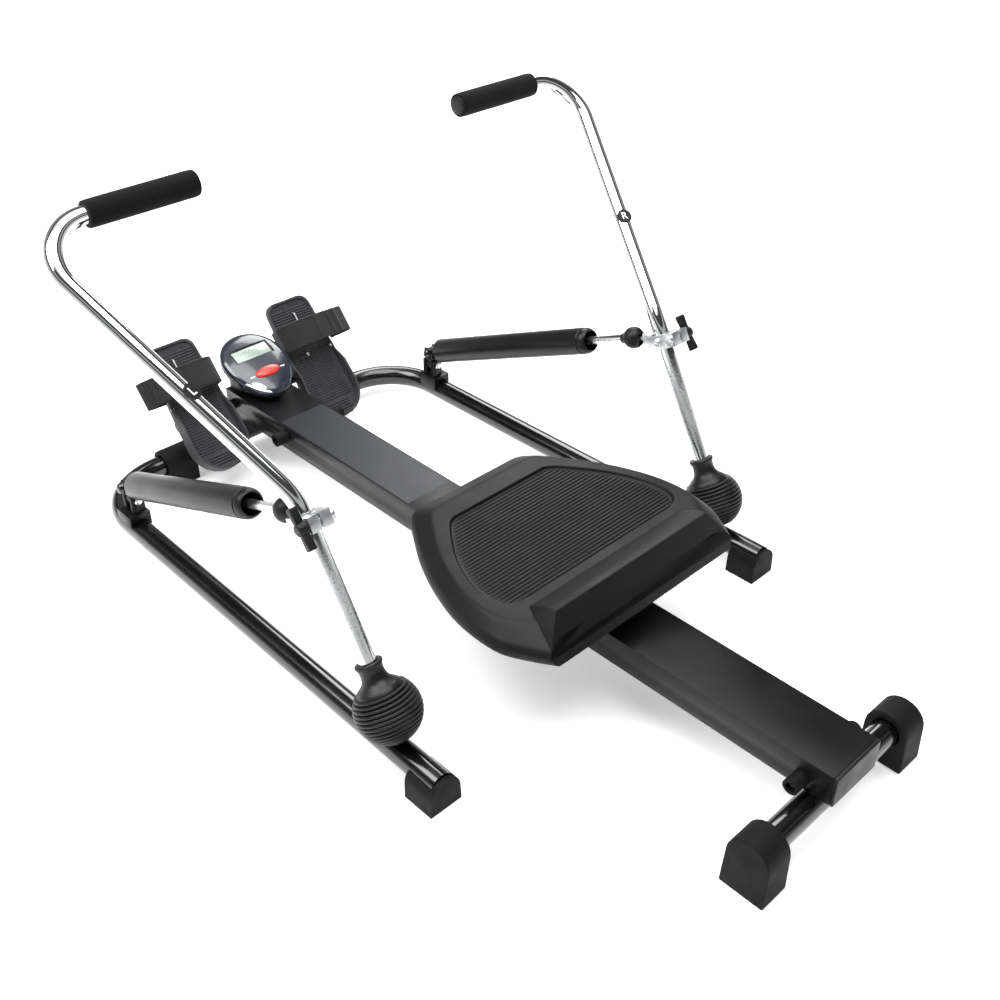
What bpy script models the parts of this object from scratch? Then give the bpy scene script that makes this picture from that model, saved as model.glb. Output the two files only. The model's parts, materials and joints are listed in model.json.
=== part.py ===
"""Full-motion hydraulic rowing machine, modelled as separate sub-parts.

Metres, +Z up, +Y towards the foot plates and the monitor, +X to the rower's right.
Run with: blender --background --python part.py
"""
import math

import bmesh
import bpy
from mathutils import Matrix, Vector

# ---------------------------------------------------------------- driving dimensions
GAP = 0.0003                      # clearance between touching pieces
CENTRE_Y = 0.2181                 # machine y that lies over the model's origin

BEAM_WIDTH, BEAM_HEIGHT, BEAM_WALL = 0.080, 0.040, 0.002
BEAM_TOP = 0.1045
BEAM_REAR, BEAM_FRONT = -0.343, 0.745
BEAM_BOTTOM = BEAM_TOP - BEAM_HEIGHT
BEAM_SIDE = BEAM_WIDTH / 2

FRAME_TUBE_R = 0.016              # bent base frame and rear cross tube
TUBE_WALL = 0.0015
FRAME_Z = 0.031
FRAME_REAR_X, FRAME_CORNER_X = 0.2875, 0.2785
FRAME_REAR_Y, FRAME_FRONT_Y = -0.026, 0.729
FRAME_BEND_R = 0.094

REAR_TUBE_Y = -0.322
REAR_TUBE_Z = BEAM_BOTTOM - GAP - FRAME_TUBE_R
REAR_TUBE_HALF = 0.140

STOP_PIN_R, STOP_BUSH_R = 0.004, 0.0095
REAR_STOP = (-0.308, 0.0785)
FRONT_STOP = (0.590, 0.0885)

PIVOT = Vector((0.2875, 0.0603, 0.0834))       # universal joint of the right arm
ARM_R = 0.0105
ARM_BEND = Vector((0.2926, 0.1839, 0.3046))
ARM_TOP = Vector((0.4093, 0.4650, 0.5465))
ARM_END = Vector((0.1990, 0.4650, 0.5465))
ARM_BEND_R, ARM_TOP_R = 0.100, 0.055
GRIP_R, GRIP_INNER_X, GRIP_OUTER_X = 0.0152, 0.1975, 0.3320
BOOT_R, BOOT_NECK_R = 0.0395, 0.0150

CLAMP_DISTANCE = 0.228            # from the pivot, along the lower arm
ROD_BALL = Vector((0.2865, 0.2177, 0.2708))
ROD_BALL_R, ROD_R, ROD_LENGTH = 0.0149, 0.0048, 0.252
BARREL_PIVOT = Vector((0.2747, 0.6248, 0.0969))
YOKE_PIVOT = Vector((0.2747, 0.6248, 0.0753))
BARREL_R, BARREL_BORE_R, BARREL_MOUTH_R = 0.0190, 0.0175, 0.0133
BARREL_BACK, BARREL_MOUTH = 0.020, 0.362       # distances from the barrel's pivot

AXLE_Y, AXLE_Z, AXLE_R = 0.7264, 0.0851, 0.0075
HEEL = Vector((0.0, 0.6498, 0.0325))
TOE = Vector((0.0, 0.7820, 0.1896))
PLATE_X, PLATE_WIDTH, PLATE_THICK = 0.1055, 0.078, 0.005

SEAT_Y = 0.085
SEAT_BOTTOM = 0.141
ROLLER_R, ROLLER_AXLE_R = 0.0120, 0.0035
ROLLER_OFFSETS = (-0.070, 0.070)

MONITOR = Vector((0.0, 0.7083, 0.1447))
MONITOR_TILT = math.radians(25)
MONITOR_HALF_WIDTH, MONITOR_HALF_LENGTH = 0.0505, 0.062

SIDES = (("right", 1), ("left", -1))
X, Y, Z = Vector((1, 0, 0)), Vector((0, 1, 0)), Vector((0, 0, 1))


# ---------------------------------------------------------------- scene and materials
def clear_scene():
    for obj in list(bpy.data.objects):
        bpy.data.objects.remove(obj, do_unlink=True)


def srgb(code):
    """A hex colour as linear red, green and blue."""
    parts = [int(code[i:i + 2], 16) / 255 for i in (0, 2, 4)]
    return [c / 12.92 if c <= 0.04045 else ((c + 0.055) / 1.055) ** 2.4 for c in parts]


def material(name, code, roughness, metallic=0.0):
    found = bpy.data.materials.get(name)
    if found:
        return found
    made = bpy.data.materials.new(name)
    made.use_nodes = True
    shader = made.node_tree.nodes["Principled BSDF"]
    shader.inputs["Base Color"].default_value = (*srgb(code), 1)
    shader.inputs["Roughness"].default_value = roughness
    shader.inputs["Metallic"].default_value = metallic
    return made


FINISHES = {
    "satin_black": ("1c1c1e", 0.38, 0.0),
    "gloss_black": ("0d0d0e", 0.15, 0.0),
    "black_plastic": ("161617", 0.50, 0.0),
    "grey_plastic": ("3c3d40", 0.50, 0.0),
    "rubber": ("141415", 0.75, 0.0),
    "foam": ("19191a", 0.95, 0.0),
    "webbing": ("0f0f10", 0.90, 0.0),
    "chrome": ("e4e6e8", 0.08, 1.0),
    "zinc": ("b9bcbf", 0.30, 1.0),
    "red_plastic": ("e23a30", 0.35, 0.0),
    "display": ("aab7ae", 0.15, 0.0),
    "circuit": ("1f5a36", 0.45, 0.0),
}


# ---------------------------------------------------------------- mesh helpers
def basis(origin, along):
    """A frame at origin whose Z axis runs along a direction."""
    turn = Vector(along).normalized().to_track_quat("Z", "Y").to_matrix().to_4x4()
    return Matrix.Translation(origin) @ turn


def add_cylinder(bm, start, end, radius, sides=24, end_radius=None):
    start, end = Vector(start), Vector(end)
    place = basis((start + end) / 2, end - start)
    top = radius if end_radius is None else end_radius
    bmesh.ops.create_cone(bm, cap_ends=True, segments=sides, radius1=radius, radius2=top,
                          depth=(end - start).length, matrix=place)


def add_box(bm, low, high, place=None):
    low, high = Vector(low), Vector(high)
    scale = Matrix.Diagonal((*(high - low), 1))
    matrix = Matrix.Translation((low + high) / 2) @ scale
    bmesh.ops.create_cube(bm, size=1, matrix=(place or Matrix()) @ matrix)


def add_prism(bm, outline, low, high, place=None):
    """Extrude a flat outline, given in the place's XY plane, from low to high."""
    place = place or Matrix()
    bottom = [bm.verts.new(place @ Vector((u, v, low))) for u, v in outline]
    top = [bm.verts.new(place @ Vector((u, v, high))) for u, v in outline]
    bm.faces.new(reversed(bottom))
    bm.faces.new(top)
    for i in range(len(outline)):
        j = (i + 1) % len(outline)
        bm.faces.new((bottom[i], bottom[j], top[j], top[i]))


def add_lathe(bm, profile, place=None, sides=24):
    """Turn a closed loop of (radius, height) points about the place's Z axis."""
    place = place or Matrix()
    rings = []
    for radius, height in profile:
        if radius < 1e-6:
            rings.append([bm.verts.new(place @ Vector((0, 0, height)))] * sides)
            continue
        angles = [2 * math.pi * k / sides for k in range(sides)]
        rings.append([bm.verts.new(place @ Vector((radius * math.cos(a), radius * math.sin(a), height)))
                      for a in angles])
    for i in range(len(rings)):
        ring, following = rings[i], rings[(i + 1) % len(rings)]
        if ring[0] is ring[1] and following[0] is following[1]:
            continue
        for k in range(sides):
            m = (k + 1) % sides
            corners = []
            for vert in (ring[k], ring[m], following[m], following[k]):
                if vert not in corners:
                    corners.append(vert)
            bm.faces.new(corners)


def add_loft(bm, rings):
    """Join equal-length rings of points and close both ends."""
    rows = [[bm.verts.new(p) for p in ring] for ring in rings]
    for low, high in zip(rows, rows[1:]):
        for k in range(len(low)):
            m = (k + 1) % len(low)
            bm.faces.new((low[k], low[m], high[m], high[k]))
    bm.faces.new(reversed(rows[0]))
    bm.faces.new(rows[-1])


def solid(build, *args, **kwargs):
    """A helper mesh made by one of the add functions."""
    bm = bmesh.new()
    build(bm, *args, **kwargs)
    bmesh.ops.recalc_face_normals(bm, faces=bm.faces)
    mesh = bpy.data.meshes.new("piece")
    bm.to_mesh(mesh)
    bm.free()
    return mesh


def combine(base, others, operation):
    """Boolean a list of meshes onto a base mesh and return the result."""
    for other in others:
        base_obj = bpy.data.objects.new("base", base)
        tool = bpy.data.objects.new("tool", other)
        for obj in (base_obj, tool):
            bpy.context.scene.collection.objects.link(obj)
        modifier = base_obj.modifiers.new("cut", "BOOLEAN")
        modifier.operation = operation
        modifier.object = tool
        modifier.solver = "EXACT"
        graph = bpy.context.evaluated_depsgraph_get()
        base = bpy.data.meshes.new_from_object(base_obj.evaluated_get(graph))
        for obj in (base_obj, tool):
            bpy.data.objects.remove(obj, do_unlink=True)
    return base


def join(base, *others):
    return combine(base, others, "UNION")


def cut(base, *others):
    return combine(base, others, "DIFFERENCE")


def mirrored(mesh):
    copy = mesh.copy()
    copy.transform(Matrix.Diagonal((-1, 1, 1, 1)))
    copy.flip_normals()
    return copy


def place_node(name, mesh, finish, pivot=(0, 0, 0), sharp=35):
    """Make one named sub-part whose origin sits on its joint's axis."""
    pivot = Vector(pivot)
    bm = bmesh.new()
    bm.from_mesh(mesh)
    bmesh.ops.remove_doubles(bm, verts=bm.verts, dist=1e-6)
    bmesh.ops.recalc_face_normals(bm, faces=bm.faces)
    bm.to_mesh(mesh)
    bm.free()
    mesh.transform(Matrix.Translation(-pivot))
    mesh.name = name
    obj = bpy.data.objects.new(name, mesh)
    obj.data.materials.clear()
    obj.data.materials.append(material(finish, *FINISHES[finish]))
    mesh.shade_smooth()
    mesh.set_sharp_from_angle(angle=math.radians(sharp))
    obj.location = pivot
    obj.parent = machine
    bpy.context.scene.collection.objects.link(obj)
    return obj


def both_sides(name, mesh, finish, pivot=(0, 0, 0)):
    """A right-hand piece and its mirror image on the left."""
    flip = Vector((-pivot[0], pivot[1], pivot[2]))
    other = mirrored(mesh)
    place_node(name + "_right", mesh, finish, pivot)
    place_node(name + "_left", other, finish, flip)


def rounded_path(corners, radii, step):
    """Straight runs joined by arcs, with a point every step or so along each arc."""
    points = [corners[0]]
    for i, radius in enumerate(radii, start=1):
        before = (corners[i - 1] - corners[i]).normalized()
        after = (corners[i + 1] - corners[i]).normalized()
        half = before.angle(after) / 2
        reach = radius / math.tan(half)
        centre = corners[i] + (before + after).normalized() * radius / math.sin(half)
        first = corners[i] + before * reach - centre
        last = corners[i] + after * reach - centre
        turn = first.angle(last)
        count = max(3, round(turn * radius / step))
        axis = first.cross(last).normalized()
        for k in range(count + 1):
            points.append(centre + Matrix.Rotation(turn * k / count, 3, axis) @ first)
    points.append(corners[-1])
    return points


def tube_mesh(points, radius, resolution=2):
    """A round bar along a path, as a curve with a bevel and filled caps."""
    curve = bpy.data.curves.new("path", "CURVE")
    curve.dimensions = "3D"
    curve.bevel_depth = radius
    curve.bevel_resolution = resolution
    curve.use_fill_caps = True
    spline = curve.splines.new("POLY")
    spline.points.add(len(points) - 1)
    for point, target in zip(points, spline.points):
        target.co = (*point, 1)
    obj = bpy.data.objects.new("path", curve)
    bpy.context.scene.collection.objects.link(obj)
    graph = bpy.context.evaluated_depsgraph_get()
    mesh = bpy.data.meshes.new_from_object(obj.evaluated_get(graph))
    bpy.data.objects.remove(obj, do_unlink=True)
    bm = bmesh.new()
    bm.from_mesh(mesh)
    bmesh.ops.remove_doubles(bm, verts=bm.verts, dist=1e-6)
    bmesh.ops.recalc_face_normals(bm, faces=bm.faces)
    bm.to_mesh(mesh)
    bm.free()
    return mesh


def hollow_tube(points, radius):
    """A tube of the usual wall along a path, open at both ends."""
    first = points[0] + (points[0] - points[1]).normalized() * 0.01
    last = points[-1] + (points[-1] - points[-2]).normalized() * 0.01
    core = tube_mesh([first, *points, last], radius - TUBE_WALL, 2)
    return cut(tube_mesh(points, radius, 3), core)


def cylinder(*args, **kwargs):
    return solid(add_cylinder, *args, **kwargs)


def box(*args, **kwargs):
    return solid(add_box, *args, **kwargs)


def prism(*args, **kwargs):
    return solid(add_prism, *args, **kwargs)


def lathe(*args, **kwargs):
    return solid(add_lathe, *args, **kwargs)


def ring(inner, outer, low, high, place=None, sides=24):
    profile = [(inner, low), (outer, low), (outer, high), (inner, high)]
    return lathe(profile, place, sides)


# ---------------------------------------------------------------- beam and base frame
def make_beam():
    """A rectangular tube, open at the rear and closed by an end plate at the front."""
    low = (-BEAM_SIDE, BEAM_REAR, BEAM_BOTTOM)
    high = (BEAM_SIDE, BEAM_FRONT, BEAM_TOP)
    hollow_low = (BEAM_WALL - BEAM_SIDE, BEAM_REAR - 0.01, BEAM_BOTTOM + BEAM_WALL)
    hollow_high = (BEAM_SIDE - BEAM_WALL, BEAM_FRONT - BEAM_WALL, BEAM_TOP - BEAM_WALL)
    tube = cut(box(low, high), box(hollow_low, hollow_high))
    for y, z in (REAR_STOP, FRONT_STOP):
        tube = cut(tube, cylinder((-0.06, y, z), (0.06, y, z), STOP_PIN_R + GAP, 16))
    hole = cylinder((-0.06, AXLE_Y, AXLE_Z), (0.06, AXLE_Y, AXLE_Z), AXLE_R + GAP, 20)
    place_node("main_beam", cut(tube, hole), "satin_black")


def make_beam_cap():
    """A moulded plug: a face plate with a shorter block inside the tube."""
    face, plug = 0.005, 0.012
    side = BEAM_SIDE - BEAM_WALL - 2 * GAP
    low, high = BEAM_BOTTOM + BEAM_WALL + 2 * GAP, BEAM_TOP - BEAM_WALL - 2 * GAP
    plate = box((-BEAM_SIDE, BEAM_REAR - face, BEAM_BOTTOM), (BEAM_SIDE, BEAM_REAR - GAP, BEAM_TOP))
    block = box((-side, BEAM_REAR - 2 * GAP, low), (side, BEAM_REAR + plug, high))
    place_node("beam_rear_cap", join(plate, block), "black_plastic")


def make_base_frame():
    half = [Vector((FRAME_REAR_X, FRAME_REAR_Y, FRAME_Z)), Vector((FRAME_CORNER_X, FRAME_FRONT_Y, FRAME_Z))]
    mirror = [Vector((-p.x, p.y, p.z)) for p in reversed(half)]
    path = rounded_path(half + mirror, (FRAME_BEND_R, FRAME_BEND_R), 0.016)
    place_node("base_frame", hollow_tube(path, FRAME_TUBE_R), "gloss_black")


def make_frame_saddle():
    """The welded block that carries the beam on the front run of the base frame."""
    block = box((-0.034, FRAME_FRONT_Y - 0.020, FRAME_Z + 0.002), (0.034, FRAME_FRONT_Y + 0.014, BEAM_BOTTOM - GAP))
    groove = cylinder((-0.05, FRAME_FRONT_Y, FRAME_Z), (0.05, FRAME_FRONT_Y, FRAME_Z), FRAME_TUBE_R + GAP, 32)
    place_node("frame_saddle", cut(block, groove), "satin_black")


def make_rear_tube():
    place = basis((0, REAR_TUBE_Y, REAR_TUBE_Z), X)
    tube = ring(FRAME_TUBE_R - TUBE_WALL, FRAME_TUBE_R, -REAR_TUBE_HALF, REAR_TUBE_HALF, place)
    place_node("rear_cross_tube", tube, "gloss_black")


def arch(half, centre, steps=12):
    """An arch outline: round over the centre height, straight down to zero."""
    points = [(half * math.cos(a), centre + half * math.sin(a))
              for a in (math.pi * k / steps for k in range(steps + 1))]
    return points + [(-half * 1.04, 0.0), (half * 1.04, 0.0)]


def make_feet():
    along_y = Matrix(((1, 0, 0, 0), (0, 0, -1, 0), (0, 1, 0, 0), (0, 0, 0, 1)))
    along_x = Matrix(((0, 0, 1, 0), (1, 0, 0, 0), (0, 1, 0, 0), (0, 0, 0, 1)))
    side = prism(arch(0.0215, 0.022), -0.012, 0.032, Matrix.Translation((FRAME_REAR_X, 0, 0)) @ along_y)
    bore_start = (FRAME_REAR_X + 0.0003, FRAME_REAR_Y - GAP, FRAME_Z)
    bore_end = (FRAME_REAR_X - 0.0006, 0.05, FRAME_Z)
    side = cut(side, cylinder(bore_start, bore_end, FRAME_TUBE_R + 2 * GAP, 24))
    both_sides("side_foot", side, "rubber")
    rear = prism(arch(0.0265, 0.0482), 0.1080, 0.1510, Matrix.Translation((0, REAR_TUBE_Y, 0)) @ along_x)
    bore = cylinder((0.05, REAR_TUBE_Y, REAR_TUBE_Z), (REAR_TUBE_HALF + GAP, REAR_TUBE_Y, REAR_TUBE_Z),
                    FRAME_TUBE_R + 2 * GAP, 24)
    slant = prism([(0.1503, -0.01), (0.1445, 0.09), (0.17, 0.09), (0.17, -0.01)], -REAR_TUBE_Y - 0.05,
                  -REAR_TUBE_Y + 0.05, along_y)
    both_sides("rear_foot", cut(rear, bore, slant), "rubber")
    front = prism(arch(0.0230, 0.0310), 0.1270, 0.1740, Matrix.Translation((0, FRAME_FRONT_Y, 0)) @ along_x)
    through = cylinder((0.10, FRAME_FRONT_Y, FRAME_Z), (0.20, FRAME_FRONT_Y, FRAME_Z), FRAME_TUBE_R + 2 * GAP, 24)
    both_sides("front_foot", cut(front, through), "rubber")


def make_stops():
    """A bolt through the beam with a bush pressed on each end, which the seat comes up against."""
    for name, (y, z) in (("rear_stop", REAR_STOP), ("front_stop", FRONT_STOP)):
        pin = cylinder((-0.058, y, z), (0.058, y, z), STOP_PIN_R, 16)
        right = cylinder((BEAM_SIDE + GAP, y, z), (BEAM_SIDE + 0.0200, y, z), STOP_BUSH_R, 24)
        place_node(name, join(pin, right, mirrored(right)), "rubber")


# ---------------------------------------------------------------- arms
LOWER = (ARM_BEND - PIVOT).normalized()
ROD_LINE = (BARREL_PIVOT - ROD_BALL).normalized()
TILT_AXIS = Vector((0, ROD_LINE.y, ROD_LINE.z)).normalized()


def make_pivot_post():
    """A fork on the base frame whose two ears hold the cross along the tilt axis."""
    upright = basis(PIVOT, TILT_AXIS)
    ears = []
    for sign in (-1, 1):
        low, high = sorted((sign * 0.0110, sign * 0.0150))
        ear = prism([(0.0065 * math.cos(a), 0.0065 * math.sin(a))
                     for a in (2 * math.pi * k / 16 for k in range(16))], low, high, upright)
        centre = PIVOT + TILT_AXIS * (low + high) / 2
        leg = box((-0.0065, -0.0030, -(centre.z - 0.0590)), (0.0065, 0.0030, 0), Matrix.Translation(centre))
        ears.append(join(ear, leg))
    deck = box((PIVOT.x - 0.012, PIVOT.y - 0.020, 0.0530), (PIVOT.x + 0.012, PIVOT.y + 0.020, 0.0600))
    stem = box((PIVOT.x - 0.010, PIVOT.y - 0.014, FRAME_Z + 0.010), (PIVOT.x + 0.010, PIVOT.y + 0.014, 0.0540))
    fork = join(deck, stem, *ears)
    bore = cylinder(PIVOT - TILT_AXIS * 0.02, PIVOT + TILT_AXIS * 0.02, 0.0030 + GAP, 16)
    seat = cylinder((FRAME_REAR_X, -0.02, FRAME_Z), (FRAME_REAR_X - 0.0018, 0.14, FRAME_Z),
                    FRAME_TUBE_R + 2 * GAP, 24)
    both_sides("pivot_post", cut(fork, bore, seat), "satin_black")


def make_cross():
    """The universal joint's cross: one pin along the tilt axis, one along X."""
    body = box((-0.0055, -0.0055, -0.0055), (0.0055, 0.0055, 0.0055), basis(PIVOT, TILT_AXIS))
    fore = cylinder(PIVOT - TILT_AXIS * 0.0155, PIVOT + TILT_AXIS * 0.0155, 0.0030, 16)
    across = cylinder(PIVOT - X * 0.0155, PIVOT + X * 0.0155, 0.0030, 16)
    both_sides("universal_cross", join(body, fore, across), "zinc", PIVOT)


def make_arm():
    """The bent chrome tube, from the clevis on the universal joint to the grip's far end."""
    start = PIVOT + LOWER * 0.022
    path = rounded_path([start, ARM_BEND, ARM_TOP, ARM_END], (ARM_BEND_R, ARM_TOP_R), 0.012)
    tube = hollow_tube(path, ARM_R)
    frame = Matrix.Translation(PIVOT) @ LOWER.to_track_quat("Z", "X").to_matrix().to_4x4()
    side_turn = frame.to_3x3().inverted() @ X
    spin = Matrix.Rotation(math.atan2(side_turn.y, side_turn.x), 4, "Z")
    frame = frame @ spin
    crown = box((-0.0150, -0.0060, 0.0170), (0.0150, 0.0060, 0.0237), frame)
    ears = []
    for sign in (-1, 1):
        low, high = sorted((sign * 0.0110, sign * 0.0150))
        ears.append(box((low, -0.0060, -0.0060), (high, 0.0060, 0.0180), frame))
    fork = join(crown, *ears)
    bore = cylinder(PIVOT - X * 0.02, PIVOT + X * 0.02, 0.0030 + GAP, 16)
    both_sides("arm_tube", join(tube, cut(fork, bore)), "chrome", PIVOT)


def make_boot():
    """The rubber bellows: a ribbed ball over the universal joint with a neck on the arm."""
    ribs, wall = 8, 0.0025
    outer, inner = [], []
    first, last = math.radians(-62), math.radians(66)
    steps = ribs * 2
    for k in range(steps + 1):
        angle = first + (last - first) * k / steps
        radius = BOOT_R - (0.0022 if k % 2 else 0.0)
        outer.append((radius * math.cos(angle), radius * math.sin(angle)))
        if k % 3 == 0:
            bore = BOOT_R - 0.0022 - wall
            inner.append((bore * math.cos(angle), bore * math.sin(angle)))
    neck = [(BOOT_NECK_R, 0.0400), (BOOT_NECK_R, 0.0590), (ARM_R + 2 * GAP, 0.0590), (ARM_R + 2 * GAP, 0.0330)]
    profile = outer + neck + list(reversed(inner))
    shell = lathe(profile, basis(PIVOT, LOWER), 20)
    tube = cylinder((FRAME_REAR_X, -0.02, FRAME_Z), (FRAME_REAR_X - 0.0018, 0.14, FRAME_Z),
                    FRAME_TUBE_R + 2 * GAP, 24)
    stem = box((PIVOT.x - 0.0125, PIVOT.y - 0.0205, 0.030), (PIVOT.x + 0.0125, PIVOT.y + 0.0205, 0.0605))
    both_sides("pivot_boot", cut(shell, tube, stem), "rubber", PIVOT)


def make_grip():
    place = basis((0, ARM_END.y, ARM_END.z), X)
    grip = ring(ARM_R + GAP, GRIP_R, GRIP_INNER_X, GRIP_OUTER_X, place, 24)
    both_sides("foam_grip", grip, "foam", PIVOT)


CLAMP = PIVOT + LOWER * CLAMP_DISTANCE


def clamp_frame():
    """At the clamp: Z along the arm, X outwards, Y forwards."""
    z_axis = LOWER
    y_axis = (Y - z_axis * Y.dot(z_axis)).normalized()
    x_axis = y_axis.cross(z_axis)
    matrix = Matrix((x_axis, y_axis, z_axis)).transposed().to_4x4()
    return Matrix.Translation(CLAMP) @ matrix


def make_clamp():
    place = clamp_frame()
    body = box((-0.0138, -0.0150, -0.0095), (0.0138, 0.0165, 0.0095), place)
    lug = box((-0.0142, -0.0310, -0.0090), (0.0142, -0.0140, 0.0090), place)
    reach = (ROD_BALL - CLAMP).normalized()
    arm_start, arm_end = CLAMP + reach * 0.014, ROD_BALL - reach * (ROD_BALL_R + 0.0040)
    tongue = box((-0.0060, -0.0085, 0), (0.0060, 0.0085, (arm_end - arm_start).length), basis(arm_start, reach))
    neck = cylinder(arm_end - reach * 0.002, ROD_BALL - reach * 0.002, 0.0030, 16)
    body = join(body, lug, tongue, neck, sphere(ROD_BALL, 0.0050, 14, 8))
    bore = cylinder(CLAMP - LOWER * 0.02, CLAMP + LOWER * 0.02, ARM_R + 0.0007, 32)
    slot = box((-0.0012, -0.0320, -0.0120), (0.0012, -0.0100, 0.0120), place)
    bolt = place @ Vector((0, -0.0235, 0))
    side = (place.to_3x3() @ X).normalized()
    hole = cylinder(bolt - side * 0.03, bolt + side * 0.03, 0.0033, 16)
    both_sides("clamp_body", cut(body, bore, slot, hole), "chrome", PIVOT)
    screw = cylinder(bolt - side * 0.0175, bolt + side * 0.0250, 0.0030, 16)
    head = cylinder(bolt - side * 0.0187, bolt - side * 0.0145, 0.0070, 20)
    hub = cylinder(bolt + side * 0.0145, bolt + side * 0.0265, 0.0078, 20)
    turn = basis(bolt, side) @ Matrix.Rotation(0.9, 4, "Z")
    wings = box((-0.0240, -0.0045, 0.0160), (0.0240, 0.0045, 0.0250), turn)
    core = cylinder(bolt + side * 0.01, bolt + side * 0.05, 0.0033, 20)
    both_sides("clamp_bolt", join(screw, head), "chrome", PIVOT)
    both_sides("wing_knob", cut(join(hub, wings), core), "black_plastic", bolt)


def neck_wedge(half, width, reach):
    """The opening in a ball joint's shell through which the stud's neck swings."""
    away = (CLAMP - ROD_BALL).normalized()
    middle = math.atan2(away.z, away.y)
    low, high = middle - math.radians(8), middle + math.radians(42)
    outline = [(half * math.sin(low), -half * math.cos(low))]
    for k in range(6):
        angle = low - 0.20 + (high - low + 0.40) * k / 5
        outline.append((reach * math.cos(angle), reach * math.sin(angle)))
    outline.append((-half * math.sin(high), half * math.cos(high)))
    place = Matrix.Translation(ROD_BALL) @ Matrix(((0, 0, 1, 0), (1, 0, 0, 0), (0, 1, 0, 0), (0, 0, 0, 1)))
    return prism(outline, -width / 2, width / 2, place)


def sphere(centre, radius, across=18, down=10):
    def build(bm):
        bmesh.ops.create_uvsphere(bm, u_segments=across, v_segments=down, radius=radius,
                                  matrix=Matrix.Translation(centre))
    return solid(build)


def make_rod_end():
    liner = cut(sphere(ROD_BALL, 0.0065, 14, 8), sphere(ROD_BALL, 0.0057, 14, 8), neck_wedge(0.0038, 0.0076, 0.03))
    both_sides("ball_liner", liner, "grey_plastic", ROD_BALL)
    ball = cut(sphere(ROD_BALL, ROD_BALL_R), sphere(ROD_BALL, 0.0073, 14, 8), neck_wedge(0.0042, 0.0100, 0.03))
    socket_end = ROD_BALL + ROD_LINE * 0.0190
    collar = cylinder(ROD_BALL + ROD_LINE * 0.0125, socket_end, 0.0066, 20)
    bore = cylinder(ROD_BALL + ROD_LINE * 0.0118, socket_end + ROD_LINE * 0.01, ROD_R + GAP, 20)
    both_sides("rod_ball", cut(join(ball, collar), bore), "black_plastic", ROD_BALL)
    step, tip = ROD_LENGTH - 0.070, ROD_R - 0.0014
    profile = [(0, 0.0121), (ROD_R, 0.0121), (ROD_R, step), (tip, step), (tip, ROD_LENGTH), (0, ROD_LENGTH)]
    both_sides("piston_rod", lathe(profile, basis(ROD_BALL, ROD_LINE), 16), "chrome", ROD_BALL)


def make_barrel():
    """A closed-backed tube with a ringed gland in its mouth and a flat eye at its back."""
    place = basis(BARREL_PIVOT, -ROD_LINE)
    back, mouth, bore = BARREL_BACK, BARREL_MOUTH, BARREL_BORE_R
    outside = [(0, back), (BARREL_R - 0.004, back), (BARREL_R, back + 0.004), (BARREL_R, mouth - 0.006),
               (BARREL_R - 0.0008, mouth - 0.005), (BARREL_R - 0.0008, mouth - 0.001), (BARREL_R - 0.002, mouth)]
    inside = [(bore - 0.0015, mouth), (bore - 0.0015, mouth - 0.003), (BARREL_MOUTH_R, mouth - 0.003),
              (BARREL_MOUTH_R, mouth - 0.010), (bore, mouth - 0.010), (bore, back + 0.008), (0, back + 0.008)]
    shell = lathe(outside + inside, place, 24)
    eye = cylinder(BARREL_PIVOT - X * 0.0055, BARREL_PIVOT + X * 0.0055, 0.0080, 20)
    tongue = box((-0.0055, -0.0070, 0), (0.0055, 0.0070, back + 0.003), x_aligned(BARREL_PIVOT, -ROD_LINE))
    hole = cylinder(BARREL_PIVOT - X * 0.02, BARREL_PIVOT + X * 0.02, 0.0036, 16)
    both_sides("cylinder_barrel", cut(join(shell, tongue, eye), hole), "satin_black", BARREL_PIVOT)


def x_aligned(origin, along):
    """A frame whose Z runs along a direction and whose X stays level."""
    z_axis = Vector(along).normalized()
    x_axis = (X - z_axis * X.dot(z_axis)).normalized()
    y_axis = z_axis.cross(x_axis)
    return Matrix.Translation(origin) @ Matrix((x_axis, y_axis, z_axis)).transposed().to_4x4()


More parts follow.
